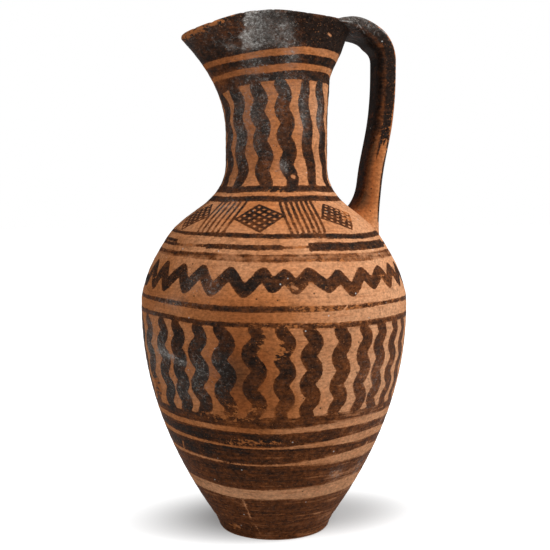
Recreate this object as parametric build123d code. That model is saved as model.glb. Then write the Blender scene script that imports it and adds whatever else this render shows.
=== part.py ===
from build123d import *

import os
from math import cos, exp, radians, sin, sqrt, tan

# Oinochoe: a wine jug of painted earthenware with a trefoil mouth and a strap handle.
# It is made of separate clay members that are luted together: a ring foot, a lower and an upper
# body, a neck with its pinched mouth, a pulled strap handle, and the rolls of soft clay pressed
# into the joins. Millimetres, +Z up, origin at the centre of the base on the standing surface,
# handle towards +X, spout towards -X.

# Foot
foot_height = 8.0
foot_base_radius = 35.0
foot_top_radius = 37.4
foot_inner_radius = 25.0
foot_edge_round = 1.6

# Body, with heights stacked one on the other from the foot upwards
wall = 5.0
floor_thickness = 7.0
belly_rise = 130.0
belly_radius = 82.3
shoulder_rise = 62.0
foot_wall_angle = 55.5
foot_wall_pull = 36.3
belly_pull_down = 55.0
belly_pull_up = 22.7
shoulder_pull = 29.3
floor_corner_radius = 30.0

# Seam between the two thrown halves of the body
belly_seam_rise = 9.0
belly_seam_bevel = 2.0
belly_coil_width = 18.0
belly_coil_thickness = 2.5

# Neck and mouth
neck_radius = 31.4
neck_seam_radius = 46.3
neck_base_rise = 28.0
neck_base_curve = 2.45
neck_height = 112.3
mouth_height = 68.0
spout_curve = 2.1
back_curve = 2.8
lobe_radius = 40.2
back_reach = 8.0
spout_reach = 36.9
spout_spread = 37.3
pinch_depth = 7.0
pinch_angle = 128.0
pinch_spread = 18.0
spout_dip = 10.0
pinch_rise = 2.4
lip_thickness = 3.6
neck_coil_width = 14.0
neck_coil_thickness = 2.5

# Strap handle
strap_width = 24.0
strap_thickness = 12.5
strap_round = 4.6
handle_lap = 5.0
handle_crest = 4.3
handle_reach = 69.9
crook_radius = 20.0
crook_straight = 2.0
shank_bend_drop = 46.0
shank_bend_radius = 240.0
handle_root_radius = 57.0
handle_root_depth = 22.0
root_coil_length = 36.0
root_coil_inner = 11.0
root_coil_side = 6.0
root_coil_skin = 0.8
rim_pad_rise = 8.0
rim_pad_reach = 9.0
rim_pad_hollow = 0.3

# Heights and radii that follow from the sizes above
belly_z = foot_height + belly_rise
neck_seam_z = belly_z + shoulder_rise
rim_z = neck_seam_z + neck_height
mouth_z = rim_z - mouth_height
belly_seam_z = belly_z + belly_seam_rise
back_radius = lobe_radius + back_reach
shoulder_slope = neck_base_curve * (neck_seam_radius - neck_radius) / neck_base_rise
neck_seam_inset = wall * sqrt(1 + shoulder_slope**2)


def point(radius, height):
    """A point of a profile, drawn in the XZ plane."""
    return Vector(radius, 0, height)


def body_curves(inset, foot_radius, foot_z, seam_radius):
    """The wall line from the foot to the belly and from the belly to the neck seam."""
    belly = point(belly_radius - inset, belly_z)
    start = point(foot_radius, foot_z)
    start_pull = point(cos(radians(foot_wall_angle)), sin(radians(foot_wall_angle))) * foot_wall_pull
    seam = point(seam_radius, neck_seam_z)
    seam_run = sqrt(1 + shoulder_slope**2)
    seam_pull = point(shoulder_slope / seam_run, -1 / seam_run) * shoulder_pull
    lower = Bezier(start, start + start_pull, belly - point(0, belly_pull_down), belly)
    upper = Bezier(belly, belly + point(0, belly_pull_up), seam + seam_pull, seam)
    return lower, upper


def profile(*edges):
    """A face from edges that close on each other, in the XZ plane."""
    return make_face(edges)


def chain(*points):
    """Straight edges through the points in turn."""
    return [Line(a, b) for a, b in zip(points, points[1:])]


def coil_face(centre, along, thickness, width):
    """Section of a roll of clay centred on a point of a wall, lying along it."""
    return Plane(centre, x_dir=point(along.Z, -along.X), z_dir=(0, -1, 0)) * Ellipse(thickness, width / 2)


# Body walls: one profile, cut in two at the belly seam
outer_lower, outer_upper = body_curves(0, foot_top_radius, foot_height, neck_seam_radius)
floor_z = foot_height + floor_thickness
inner_seam_radius = neck_seam_radius - neck_seam_inset
inner_lower, inner_upper = body_curves(wall, floor_corner_radius, floor_z, inner_seam_radius)
axis_bottom = point(0, foot_height)
axis_floor = point(0, floor_z)
body_wall = profile(
    outer_lower,
    outer_upper,
    *chain(outer_upper @ 1, inner_upper @ 1),
    inner_upper,
    inner_lower,
    *chain(inner_lower @ 0, axis_floor, axis_bottom, outer_lower @ 0),
)
body_filled = revolve(
    profile(
        outer_lower,
        outer_upper,
        *chain(outer_upper @ 1, point(0, neck_seam_z), axis_bottom, outer_lower @ 0),
    ),
    Axis.Z,
)
seam_lean = belly_seam_bevel / wall
seam_outer = point(belly_radius + wall, belly_seam_z + belly_seam_bevel / 2 + seam_lean * wall)
seam_axis = point(0, seam_outer.Z - seam_lean * seam_outer.X)
below_seam = profile(
    *chain(seam_axis, seam_outer, point(seam_outer.X, 0), point(0, 0), seam_axis)
)
lower_body = revolve(body_wall & below_seam, Axis.Z)
upper_body = revolve(body_wall - below_seam, Axis.Z)
seam_inner = Vector(inner_upper.intersect(Plane.XY.offset(belly_seam_z))[0])
seam_way = inner_upper % inner_upper.param_at_point(seam_inner)
belly_coil_face = coil_face(seam_inner, seam_way, belly_coil_thickness, belly_coil_width)
belly_seam_coil = revolve(belly_coil_face - body_wall, Axis.Z)

# Ring foot
foot_ring = revolve(
    profile(
        *chain(
            point(foot_inner_radius, foot_height),
            point(foot_inner_radius, 0),
            point(foot_base_radius, 0),
            point(foot_top_radius, foot_height),
            point(foot_inner_radius, foot_height),
        )
    ),
    Axis.Z,
)
foot_ring = fillet(foot_ring.edges().filter_by(GeomType.CIRCLE).group_by(Axis.Z)[0], foot_edge_round)


def rim_radius(angle):
    """Plan outline of the mouth: round at the back, a nip either side and a lobe for the spout."""
    turn = abs((angle + 180) % 360 - 180)
    spout = spout_reach * exp(-(((180 - turn) / spout_spread) ** 2))
    pinch = pinch_depth * exp(-(((turn - pinch_angle) / pinch_spread) ** 2))
    return lobe_radius + back_reach * cos(radians(turn)) + spout - pinch


def neck_line(angle, height):
    """Outer radius of the neck at an angle from the handle, with its slope up the wall."""
    base = max(0, 1 - (height - neck_seam_z) / neck_base_rise)
    flare = max(0, (height - mouth_z) / mouth_height)
    base_reach = neck_seam_radius - neck_radius
    flare_reach = rim_radius(angle) - neck_radius
    mouth_curve = spout_curve + (back_curve - spout_curve) * (1 + cos(radians(angle))) / 2
    radius = neck_radius + base_reach * base**neck_base_curve + flare_reach * flare**mouth_curve
    slope = (
        flare_reach * mouth_curve * flare ** (mouth_curve - 1) / mouth_height
        - base_reach * neck_base_curve * base ** (neck_base_curve - 1) / neck_base_rise
    )
    return radius, slope


def neck_reach(angle, height, inset):
    """Radius of the neck moved in by a wall thickness square to the wall."""
    radius, slope = neck_line(angle, height)
    return radius - inset * sqrt(1 + slope**2)


def neck_section(height, inset):
    """A level slice of the neck, moved in by a wall thickness."""
    outline = []
    for angle in range(90, 450, 10):
        reach = neck_reach(angle, height, inset)
        outline.append((reach * cos(radians(angle)), reach * sin(radians(angle)), height))
    return make_face(Spline(*outline, periodic=True))


def neck_wall(height):
    """Wall of the neck, drawn thinner through the mouth towards the lip."""
    flare = max(0, (height - mouth_z) / mouth_height)
    return wall - (wall - lip_thickness) * flare


# Neck and mouth: level slices lofted from the seam past the rim, then trimmed to the rim line
trim_z = rim_z + pinch_rise + lip_thickness
base_steps = [neck_seam_z + neck_base_rise * step for step in (0, 0.14, 0.3, 0.5, 0.75)]
throat_steps = [neck_seam_z + neck_base_rise, mouth_z]
mouth_steps = [mouth_z + (trim_z - mouth_z) * step for step in (0.2, 0.4, 0.6, 0.8, 1)]
neck_steps = base_steps + throat_steps + mouth_steps
neck_outer = loft([neck_section(height, 0) for height in neck_steps])
neck_bore = loft([neck_section(height, neck_wall(height)) for height in neck_steps])
spout_tip = neck_line(180, rim_z - spout_dip)[0]
pinch_x = rim_radius(pinch_angle) * cos(radians(pinch_angle))
rim_far = 1.4 * spout_tip
rim_fall = 2 * (spout_dip + pinch_rise) / (spout_tip + pinch_x)
rim_line = Spline(
    point(rim_far, rim_z),
    point(back_reach, rim_z),
    point(pinch_x, rim_z + pinch_rise),
    point(-spout_tip, rim_z - spout_dip),
    point(-rim_far, rim_z - spout_dip - rim_fall * (rim_far - spout_tip)),
    tangents=(point(-1, 0), point(-1, -rim_fall)),
)
above_rim = extrude(
    Pos(0, -rim_far, 0)
    * profile(
        rim_line,
        *chain(rim_line @ 1, point(-rim_far, 2 * rim_z), point(rim_far, 2 * rim_z), rim_line @ 0),
    ),
    2 * rim_far,
    dir=(0, 1, 0),
)
neck_and_mouth = neck_outer - neck_bore - above_rim

# Roll of clay smoothed over the neck seam from inside, against the same wall lines
bore_line = Spline(*[point(neck_reach(0, height, neck_wall(height)), height) for height in base_steps])
neck_base_wall = profile(
    bore_line,
    *chain(
        bore_line @ 1,
        point(neck_seam_radius, base_steps[-1]),
        point(neck_seam_radius, neck_seam_z),
        bore_line @ 0,
    ),
)
neck_coil_face = coil_face(bore_line @ 0, point(0, 1), neck_coil_thickness, neck_coil_width)
neck_seam_coil = revolve(neck_coil_face - body_wall - neck_base_wall, Axis.Z)

# Strap handle: an even section carried off the rim, round the crook and down to the shoulder
handle_start = point(back_radius - handle_lap, rim_z + handle_crest - strap_thickness / 2)
crook_corner = point(handle_reach, handle_start.Z)
shank_corner = point(handle_reach, handle_start.Z - shank_bend_drop)
handle_root = point(handle_root_radius, neck_seam_z - handle_root_depth)
crook_bend = min(crook_radius, crook_corner.X - handle_start.X - crook_straight)
shank_turn = (shank_corner - crook_corner).get_angle(handle_root - shank_corner)
shank_room = shank_bend_drop - crook_bend - crook_straight
shank_bend = min(shank_bend_radius, shank_room / tan(radians(shank_turn / 2)))
handle_line = FilletPolyline(
    handle_start, crook_corner, shank_corner, handle_root, radius=[crook_bend, shank_bend]
)


def strap_section(centre, along, grow_inner=0, grow_outer=0, grow_side=0):
    """A slice of the strap square to its line, let out on its inner and outer faces and its edges."""
    across = Plane(centre, x_dir=(0, 1, 0), z_dir=along)
    thickness = strap_thickness + grow_inner + grow_outer
    outline = RectangleRounded(strap_width + 2 * grow_side, thickness, strap_round)
    return across * Pos(0, (grow_outer - grow_inner) / 2) * outline


strap = sweep(strap_section(handle_start, handle_line % 0), path=handle_line)
strap_handle = strap - neck_and_mouth - body_filled

# Roll of clay pressed round the foot of the handle, thickest in the crook towards the neck
shank_way = (handle_root - shank_corner).normalized()
root_slices = []
for share in (0, 0.5, 1):
    swell = share**2
    root_slices.append(
        strap_section(
            handle_root - shank_way * root_coil_length * (1 - share),
            shank_way,
            root_coil_skin + (root_coil_inner - root_coil_skin) * swell,
            root_coil_skin,
            root_coil_skin + (root_coil_side - root_coil_skin) * swell,
        )
    )
handle_root_coil = loft(root_slices) - strap - body_filled - neck_and_mouth

# Wedge of clay pressed into the corner under the strap where it leaves the rim
under_z = handle_start.Z - strap_thickness / 2
corner = point(neck_line(0, under_z)[0], under_z)
pad_low = point(neck_line(0, under_z - rim_pad_rise)[0], under_z - rim_pad_rise)
pad_far = corner + point(rim_pad_reach, 0)
pad_hollow = corner + (pad_low + pad_far - corner * 2) * rim_pad_hollow
pad_width = strap_width - 2 * strap_round
rim_pad = extrude(
    Pos(0, -pad_width / 2, 0)
    * profile(
        ThreePointArc(pad_low, pad_hollow, pad_far),
        *chain(
            pad_far,
            point(pad_far.X, handle_start.Z),
            point(corner.X - wall, handle_start.Z),
            point(pad_low.X - wall, pad_low.Z),
            pad_low,
        ),
    ),
    pad_width,
    dir=(0, 1, 0),
)
handle_rim_pad = rim_pad - strap - neck_outer

os.makedirs("parts", exist_ok=True)
nodes = {
    "foot_ring": foot_ring,
    "lower_body": lower_body,
    "upper_body": upper_body,
    "belly_seam_coil": belly_seam_coil,
    "neck_and_mouth": neck_and_mouth,
    "neck_seam_coil": neck_seam_coil,
    "strap_handle": strap_handle,
    "handle_root_coil": handle_root_coil,
    "handle_rim_pad": handle_rim_pad,
}
for name, solid in nodes.items():
    export_step(solid, f"parts/{name}.step")
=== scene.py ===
"""Dressed model of an oinochoe, a painted earthenware wine jug with a trefoil mouth and a strap handle.

Every piece is in metres in the frame of the solids: +Z up along the axis of the pot, +X towards the
handle, -X towards the spout. Shapes are worked out in millimetres, with angles in degrees round the
axis from the handle, so that the front seen by the camera lies near -102 degrees.
"""

import logging
import math
from abc import ABC, abstractmethod
from dataclasses import dataclass, replace
from enum import Enum
from functools import reduce

import bpy
import numpy as np
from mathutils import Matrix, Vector


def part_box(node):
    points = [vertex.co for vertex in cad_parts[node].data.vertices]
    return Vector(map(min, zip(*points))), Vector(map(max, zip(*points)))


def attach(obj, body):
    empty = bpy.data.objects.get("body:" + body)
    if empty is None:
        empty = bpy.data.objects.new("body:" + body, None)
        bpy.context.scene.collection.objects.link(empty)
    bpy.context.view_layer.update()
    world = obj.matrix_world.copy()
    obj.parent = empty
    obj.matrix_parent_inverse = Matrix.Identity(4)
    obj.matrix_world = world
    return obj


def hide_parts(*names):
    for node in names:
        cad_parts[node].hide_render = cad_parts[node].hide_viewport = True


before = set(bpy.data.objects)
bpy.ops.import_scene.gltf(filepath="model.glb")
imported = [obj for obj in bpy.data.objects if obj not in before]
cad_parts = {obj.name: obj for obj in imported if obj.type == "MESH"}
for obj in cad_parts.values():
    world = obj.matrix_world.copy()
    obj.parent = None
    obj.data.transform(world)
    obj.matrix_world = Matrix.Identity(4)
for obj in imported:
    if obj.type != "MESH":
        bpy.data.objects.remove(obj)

log = logging.getLogger("oinochoe")

Array = np.ndarray
Colour = tuple[float, float, float, float]
Pair = tuple[float, float]
Triple = tuple[float, float, float]
Range = tuple[float, ...]
PointValues = tuple[dict[str, Array], dict[str, Array]]
Socket = bpy.types.NodeSocket
Material = bpy.types.Material
Piece = bpy.types.Object

MM = 0.001
COLUMNS = 432
ROW_STEP = 1.0
FINE_ROW_STEP = 0.75
CREASE_ANGLE = math.radians(40)
BODY = "root"
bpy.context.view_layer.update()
FAR = 99.0
TINY = 1e-6
MOST_STAIN = 3.0
LEAST_MULTIPLIER = 0.15
BUMP_STRENGTH = 0.7
HATCH_START = 20.5


class Slot(str, Enum):
    """Names of the material slots."""

    PAINTED = "painted_clay"
    BARE = "bare_clay"
    HANDLE = "handle_clay"


class RowEnds(Enum):
    """How the rows of a grid close: back onto the first row, or each end onto one point."""

    RING = "ring"
    POLES = "poles"


def turn_between(angle: Array, centre: float) -> Array:
    """Signed turn in degrees from a centre to each angle, the shorter way round."""
    return (angle - centre + 180.0) % 360.0 - 180.0


def ease(share: Array) -> Array:
    """Smooth step: 3s² - 2s³ of a share held between 0 and 1."""
    held = np.clip(share, 0.0, 1.0)
    return held * held * (3.0 - 2.0 * held)


def rising(value: Array, start: float, length: float) -> Array:
    """Smooth step from 0 at a start to 1 a length further on."""
    return ease((value - start) / length)


def bell(value: Array, middle: float | Array, spread: float) -> Array:
    """Bell curve exp(-((value - middle)/spread)²)."""
    return np.exp(-(((value - middle) / spread) ** 2))


def distance_along(line: Array) -> Array:
    """Distance along a line from its first point to each of its points."""
    return np.concatenate([[0.0], np.cumsum(np.linalg.norm(np.diff(line, axis=0), axis=1))])


def cubic(a: tuple, b: tuple, c: tuple, d: tuple, count: int = 600) -> Array:
    """Cubic Bezier line (1-t)³a + 3(1-t)²t b + 3(1-t)t² c + t³ d.

    Args:
        a: First end.
        b: First pull point.
        c: Second pull point.
        d: Last end.
        count: Number of points.

    Returns:
        Points of the line, one row each.
    """
    t = np.linspace(0.0, 1.0, count)[:, None]
    corners = [np.asarray(point, float) for point in (a, b, c, d)]
    weights = ((1 - t) ** 3, 3 * (1 - t) ** 2 * t, 3 * (1 - t) * t**2, t**3)
    return sum(weight * corner for weight, corner in zip(weights, corners))


def evenly(line: Array, step: float) -> Array:
    """A line's points moved to even spacing along it.

    Args:
        line: Points of the line, one row each.
        step: Spacing to aim for.

    Returns:
        Evenly spaced points from the first end to the last.
    """
    run = distance_along(line)
    count = max(2, int(round(run[-1] / step)) + 1)
    places = np.linspace(0.0, run[-1], count)
    return np.stack([np.interp(places, run, column) for column in line.T], axis=1)


def straight(start: tuple, end: tuple, step: float) -> Array:
    """Evenly spaced points of a straight run."""
    return evenly(np.asarray([start, end], float), step)


def between_heights(line: Array, low: float, high: float) -> Array:
    """The stretch of a rising wall line between two heights, with its ends exactly there."""
    inside = (line[:, 1] > low) & (line[:, 1] < high)
    ends = [(np.interp(height, line[:, 1], line[:, 0]), height) for height in (low, high)]
    return np.vstack([ends[:1], line[inside], ends[1:]])


def blob(angle: Array, height: Array, place: Pair, spread: Pair) -> Array:
    """Soft spot on the wall: exp(-(turn/spread)² - (rise/spread)²).

    Args:
        angle: Angles of the points.
        height: Heights of the points.
        place: Angle and height of the middle.
        spread: Degrees and millimetres at which the spot has faded to a third.

    Returns:
        Strength from 0 to 1.
    """
    turn = turn_between(angle, place[0]) / spread[0]
    rise = (height - place[1]) / spread[1]
    return np.exp(-(turn**2) - rise**2)


@dataclass(frozen=True)
class ThrowingMarks:
    """Unevenness that the wheel and the hand leave in the wall, in millimetres, mostly inwards."""

    ring_pitch: float = 6.1
    ring_depth: float = 0.05
    fine_pitch: float = 2.7
    fine_depth: float = 0.025
    fine_sway: float = 0.8
    warp: float = 0.16
    two_lobes: Triple = (0.6, 0.7, 90.0)
    three_lobes: Pair = (0.4, 60.0)
    girth_top: float = 200.0
    girth_fade: float = 30.0
    seam_height: float = 147.0
    seam_swell: float = 0.35
    seam_spread: float = 4.5
    shoulder_height: float = 187.5
    shoulder_swell: float = 1.5
    shoulder_spread: float = 9.0
    nape_turn: float = -12.0
    nape_swell: float = 1.2
    nape_height: float = 295.0
    nape_hollow: float = 1.0
    nape_hollow_height: float = 279.0
    nape_spread: Pair = (36.0, 7.0)
    nape_hollow_spread: Pair = (36.0, 6.0)

    def offset(self, angle: Array, height: Array) -> Array:
        """Radial offset of the outer wall.

        Rings are sines of the height whose phase climbs with the turn, the warp is a slow wave of two
        and three lobes, and the soft ridges at the belly seam and the shoulder are bell curves, as are
        the swell and the hollow of the nape below the handle's lap.

        Args:
            angle: Angles in degrees.
            height: Heights in millimetres.

        Returns:
            Offset in millimetres, positive outwards.
        """
        phi = np.radians(angle)
        rings = self.ring_depth * np.sin(2 * np.pi * height / self.ring_pitch - phi)
        unsteady = phi - self.fine_sway * np.sin(2 * phi)
        fine = self.fine_depth * np.sin(2 * np.pi * height / self.fine_pitch - unsteady)
        share, phase, climb = self.two_lobes
        lobes = share * np.cos(2 * phi + phase + height / climb)
        share, climb = self.three_lobes
        lobes = lobes + share * np.cos(3 * phi - height / climb)
        girth = ease((self.girth_top - height) / self.girth_fade)
        inwards = girth * (self.ring_depth + self.fine_depth + self.warp)
        seam = self.seam_swell * bell(height, self.seam_height, self.seam_spread)
        shoulder = self.shoulder_swell * bell(height, self.shoulder_height, self.shoulder_spread)
        swell = blob(angle, height, (self.nape_turn, self.nape_height), self.nape_spread)
        hollow = blob(angle, height, (self.nape_turn, self.nape_hollow_height), self.nape_hollow_spread)
        nape = self.nape_swell * swell - self.nape_hollow * hollow
        return rings + fine + self.warp * lobes - inwards + seam + shoulder + nape


@dataclass(frozen=True)
class JugForm:
    """Wall lines of the jug in millimetres: those of the solids, less regular, as hand work is.

    The spout is a little longer than the solid's, its dip shallower, the foot's edge softer, and the
    neck is set off the axis.
    """

    foot_height: float
    belly_radius: float
    neck_seam_z: float
    foot_base_radius: float = 35.0
    foot_top_radius: float = 37.4
    foot_inner_radius: float = 25.0
    foot_edge_round: float = 3.0
    wall: float = 5.0
    floor_thickness: float = 7.0
    floor_corner_radius: float = 30.0
    belly_rise: float = 130.0
    foot_wall_angle: float = 55.5
    foot_wall_pull: float = 36.3
    belly_pull_down: float = 55.0
    belly_pull_up: float = 22.7
    shoulder_pull: float = 29.3
    seam_rise: float = 9.0
    seam_bevel: float = 2.0
    neck_radius: float = 31.4
    neck_seam_radius: float = 46.3
    neck_base_rise: float = 28.0
    neck_base_curve: float = 2.45
    neck_height: float = 112.3
    mouth_height: float = 68.0
    spout_curve: float = 2.1
    back_curve: float = 2.8
    lobe_radius: float = 40.2
    back_reach: float = 8.0
    spout_reach: float = 38.5
    spout_spread: float = 37.3
    pinch_depth: float = 7.0
    pinch_angle: float = 128.0
    pinch_spread: float = 18.0
    lip_level: float = 311.5
    spout_dip: float = 8.0
    dip_start: float = 20.0
    dip_length: float = 34.0
    dip_curve: float = 1.2
    nip_rise: float = 3.1
    nip_reach: float = 19.3
    nip_spread: float = 26.7
    lip_thickness: float = 3.6
    lean: float = 1.5
    lean_turn: float = -12.0
    lean_below: float = 15.0
    lean_rise: float = 45.0
    marks: ThrowingMarks = ThrowingMarks()

    @classmethod
    def from_frame(cls) -> "JugForm":
        """The form with the heights and the girth that the solids have."""
        return cls(
            foot_height=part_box("foot_ring")[1].z / MM,
            belly_radius=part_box("lower_body")[1].x / MM,
            neck_seam_z=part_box("neck_and_mouth")[0].z / MM,
        )

    @property
    def belly_z(self) -> float:
        """Height of the widest girth."""
        return self.foot_height + self.belly_rise

    @property
    def rim_z(self) -> float:
        """Height of the rim at the back."""
        return self.neck_seam_z + self.neck_height

    @property
    def shoulder_slope(self) -> float:
        """Fall of the radius with height where the shoulder turns into the neck."""
        return self.neck_base_curve * (self.neck_seam_radius - self.neck_radius) / self.neck_base_rise

    @property
    def inner_seam_radius(self) -> float:
        """Inner radius at the neck seam, a wall's thickness in, square to the wall."""
        return self.neck_seam_radius - self.wall * math.hypot(1.0, self.shoulder_slope)

    def body_line(self, inset: float = 0.0) -> Array:
        """Wall line of the body from foot to neck seam, two Bezier curves that meet at the girth.

        Args:
            inset: 0 for the outer line, the wall's thickness for the inner one.

        Returns:
            Rows of radius and height.
        """
        inner = inset > 0.0
        start_radius = self.floor_corner_radius if inner else self.foot_top_radius
        start_z = self.foot_height + (self.floor_thickness if inner else 0.0)
        slant = math.radians(self.foot_wall_angle)
        reach = self.foot_wall_pull
        pull = (start_radius + reach * math.cos(slant), start_z + reach * math.sin(slant))
        girth = self.belly_radius - inset
        widest = (girth, self.belly_z)
        seam_radius = self.inner_seam_radius if inner else self.neck_seam_radius
        run = math.hypot(1.0, self.shoulder_slope)
        seam_pull = (
            seam_radius + self.shoulder_pull * self.shoulder_slope / run,
            self.neck_seam_z - self.shoulder_pull / run,
        )
        seam = (seam_radius, self.neck_seam_z)
        start = (start_radius, start_z)
        below = cubic(start, pull, (girth, self.belly_z - self.belly_pull_down), widest)
        above = cubic(widest, (girth, self.belly_z + self.belly_pull_up), seam_pull, seam)
        return np.vstack([below, above[1:]])

    def belly_seam(self) -> Pair:
        """Heights of the belly seam on the outer and on the inner wall."""
        middle = self.belly_z + self.seam_rise
        return middle + 0.5 * self.seam_bevel, middle - 0.5 * self.seam_bevel

    def rim_radius(self, angle: Array) -> Array:
        """Outer radius of the mouth at the rim: a circle set back, a bell-shaped spout and two nips."""
        turn = np.abs(turn_between(angle, 0.0))
        spout = self.spout_reach * bell(turn, 180.0, self.spout_spread)
        nip = self.pinch_depth * bell(turn, self.pinch_angle, self.pinch_spread)
        return self.lobe_radius + self.back_reach * np.cos(np.radians(turn)) + spout - nip

    @property
    def back_rim_radius(self) -> float:
        """Radius of the mouth at the back."""
        return float(self.rim_radius(np.zeros(1))[0])

    def mouth_share(self, height: Array) -> Array:
        """Share of the mouth's height that is climbed: 0 up to the throat, 1 at the rim."""
        return np.clip((height - self.rim_z + self.mouth_height) / self.mouth_height, 0.0, None)

    def neck_line(self, angle: Array, height: Array) -> tuple[Array, Array]:
        """Neck wall: the throat plus a power curve out to the shoulder and one out to the rim.

        Args:
            angle: Angles in degrees.
            height: Heights in millimetres.

        Returns:
            Outer radius, and its slope with height.
        """
        base = np.clip(1.0 - (height - self.neck_seam_z) / self.neck_base_rise, 0.0, None)
        flare = self.mouth_share(height)
        base_reach = self.neck_seam_radius - self.neck_radius
        flare_reach = self.rim_radius(angle) - self.neck_radius
        back = 0.5 + 0.5 * np.cos(np.radians(angle))
        curve = self.spout_curve + (self.back_curve - self.spout_curve) * back
        radius = self.neck_radius + base_reach * base**self.neck_base_curve + flare_reach * flare**curve
        base_slope = self.neck_base_curve * base ** (self.neck_base_curve - 1.0) / self.neck_base_rise
        flare_slope = curve * flare ** (curve - 1.0) / self.mouth_height
        return radius, flare_reach * flare_slope - base_reach * base_slope

    def neck_wall(self, height: Array) -> Array:
        """Thickness of the neck, even to the throat and drawn thinner through the mouth."""
        return self.wall - (self.wall - self.lip_thickness) * self.mouth_share(height)

    def rim_height(self, angle: Array) -> Array:
        """Height of the lip: level at the back, a swell over the nips and a dip to the spout's tip.

        The height follows the distance towards the spout, and three passes settle the two together.

        Args:
            angle: Angles in degrees.

        Returns:
            Height of the lip in millimetres.
        """
        height = np.full(np.shape(angle), self.lip_level)
        for _ in range(3):
            radius, _slope = self.neck_line(angle, height)
            forward = -radius * np.cos(np.radians(angle))
            swell = self.nip_rise * bell(forward, self.nip_reach, self.nip_spread)
            dip = np.clip((forward - self.dip_start) / self.dip_length, 0.0, None) ** self.dip_curve
            height = self.lip_level + swell - self.spout_dip * dip
        return height

    def lean_shift(self, height: Array) -> tuple[Array, Array]:
        """Shift along x and y of the neck, which was set on a little off the body's axis."""
        shift = self.lean * rising(height, self.neck_seam_z - self.lean_below, self.lean_rise)
        turn = math.radians(self.lean_turn)
        return shift * math.cos(turn), shift * math.sin(turn)


@dataclass
class WallPoints:
    """Points of a wall as arrays of one shape: where they lie, and whether they face outwards."""

    angle: Array
    height: Array
    radius: Array
    run: Array
    outside: Array


@dataclass(frozen=True)
class WavyStroke:
    """One thick brush stroke that sways as it comes down the wall.

    The middle line is angle + lean·(height - middle) + sway·cos(2π(height - crest)/wave), where a crest
    is a height at which the stroke bulges away from the spout.
    """

    angle: float
    crest: float
    wave: float
    sway: float
    width: float
    lean: float = 0.0
    end_thinning: float = 0.22
    margin: float = 12.0
    steps: int = 120

    def cover(self, points: WallPoints, low: float, high: float) -> Array:
        """Cover of the stroke: half its width, less at its ends, less the distance to its middle line.

        Args:
            points: Points of the wall.
            low: Height of the stroke's lower end.
            high: Height of its upper end.

        Returns:
            Millimetres inside the stroke, negative outside.
        """
        reach = self.width + self.sway + self.margin
        near = (points.height > low - reach) & (points.height < high + reach)
        near &= np.abs(turn_between(points.angle, self.angle)) * np.radians(points.radius) < reach
        result = np.full(points.angle.shape, -FAR)
        if not near.any():
            return result
        radius = float(points.radius[near].mean())
        height = np.linspace(low, high, self.steps)
        sway = self.sway * np.cos(2 * np.pi * (height - self.crest) / self.wave)
        middle = np.degrees(sway / radius) + self.lean * (height - 0.5 * (low + high))
        turn = turn_between(points.angle[near], self.angle)[:, None] - middle
        across = np.radians(turn) * points.radius[near][:, None]
        gap = np.hypot(across, points.height[near][:, None] - height).min(axis=1)
        from_middle = np.abs(2.0 * (points.height[near] - low) / (high - low) - 1.0)
        result[near] = 0.5 * self.width * (1.0 - self.end_thinning * from_middle**4) - gap
        return result


@dataclass(frozen=True)
class Band:
    """A line round the pot, of slip or left bare, whose edges rise or sink towards the sides."""

    low: float
    high: float
    left: Pair = (0.0, 0.0)
    right: Pair = (0.0, 0.0)
    left_angle: float = -176.0
    left_spread: float = 38.0
    right_angle: float = -50.0
    right_spread: float = 32.0
    back_angle: float = 80.0
    back_spread: float = 50.0

    def cover(self, angle: Array, level: Array) -> Array:
        """Millimetres inside the line, its two edges lifted by bell curves of the angle.

        Args:
            angle: Angles in degrees.
            level: Heights as the brush held them.

        Returns:
            Millimetres from the nearer edge, negative outside.
        """
        left = bell(turn_between(angle, self.left_angle), 0.0, self.left_spread)
        right = bell(turn_between(angle, self.right_angle), 0.0, self.right_spread)
        right = right + bell(turn_between(angle, self.back_angle), 0.0, self.back_spread)
        low = self.low + self.left[0] * left + self.right[0] * right
        high = self.high + self.left[1] * left + self.right[1] * right
        return np.minimum(level - low, high - level)


def rhythm(number: Array, start: float, step: float, depth: float, rate: float) -> Array:
    """A value that goes on from stroke to stroke n: start + step·n + depth·sin(rate·n)."""
    return start + step * number + depth * np.sin(rate * number)


@dataclass(frozen=True)
class HiddenStrokes:
    """Wavy strokes of the far side: rhythms of angle, crest and wave, and one shape for all."""

    count: int
    rhythms: tuple[Range, ...]
    shape: Range

    def strokes(self) -> list[WavyStroke]:
        """The strokes in their order round the pot."""
        columns = (rhythm(np.arange(self.count), *values) for values in self.rhythms)
        return [WavyStroke(*row, *self.shape) for row in zip(*columns)]


@dataclass(frozen=True)
class Scratch:
    """A straight scratch or small loss in the slip, between two places of the wall."""

    start: Pair
    end: Pair
    width: float

    def cover(self, points: WallPoints) -> Array:
        """Cover of the scratch: half its width less the distance to its line.

        Args:
            points: Points of the wall.

        Returns:
            Millimetres inside the scratch, negative outside.
        """
        across = np.radians(turn_between(points.angle, self.start[0])) * points.radius
        rise = points.height - self.start[1]
        run = np.radians(self.end[0] - self.start[0]) * points.radius
        climb = self.end[1] - self.start[1]
        share = np.clip((across * run + rise * climb) / (run**2 + climb**2 + TINY), 0.0, 1.0)
        return 0.5 * self.width - np.hypot(across - share * run, rise - share * climb)


@dataclass(frozen=True)
class Dash:
    """A stretch of band painted over part of the way round."""

    start: float
    end: float
    low: float
    high: float

    def cover(self, points: WallPoints, level: Array) -> Array:
        """Cover of the dash, from the nearest of its four sides.

        Args:
            points: Points of the wall.
            level: Their heights as the brush held them.

        Returns:
            Millimetres inside the dash, negative outside.
        """
        middle = 0.5 * (self.start + self.end)
        sideways = 0.5 * (self.end - self.start) - np.abs(turn_between(points.angle, middle))
        upright = np.minimum(level - self.low, self.high - level)
        return np.minimum(sideways * np.radians(points.radius), upright)


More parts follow.
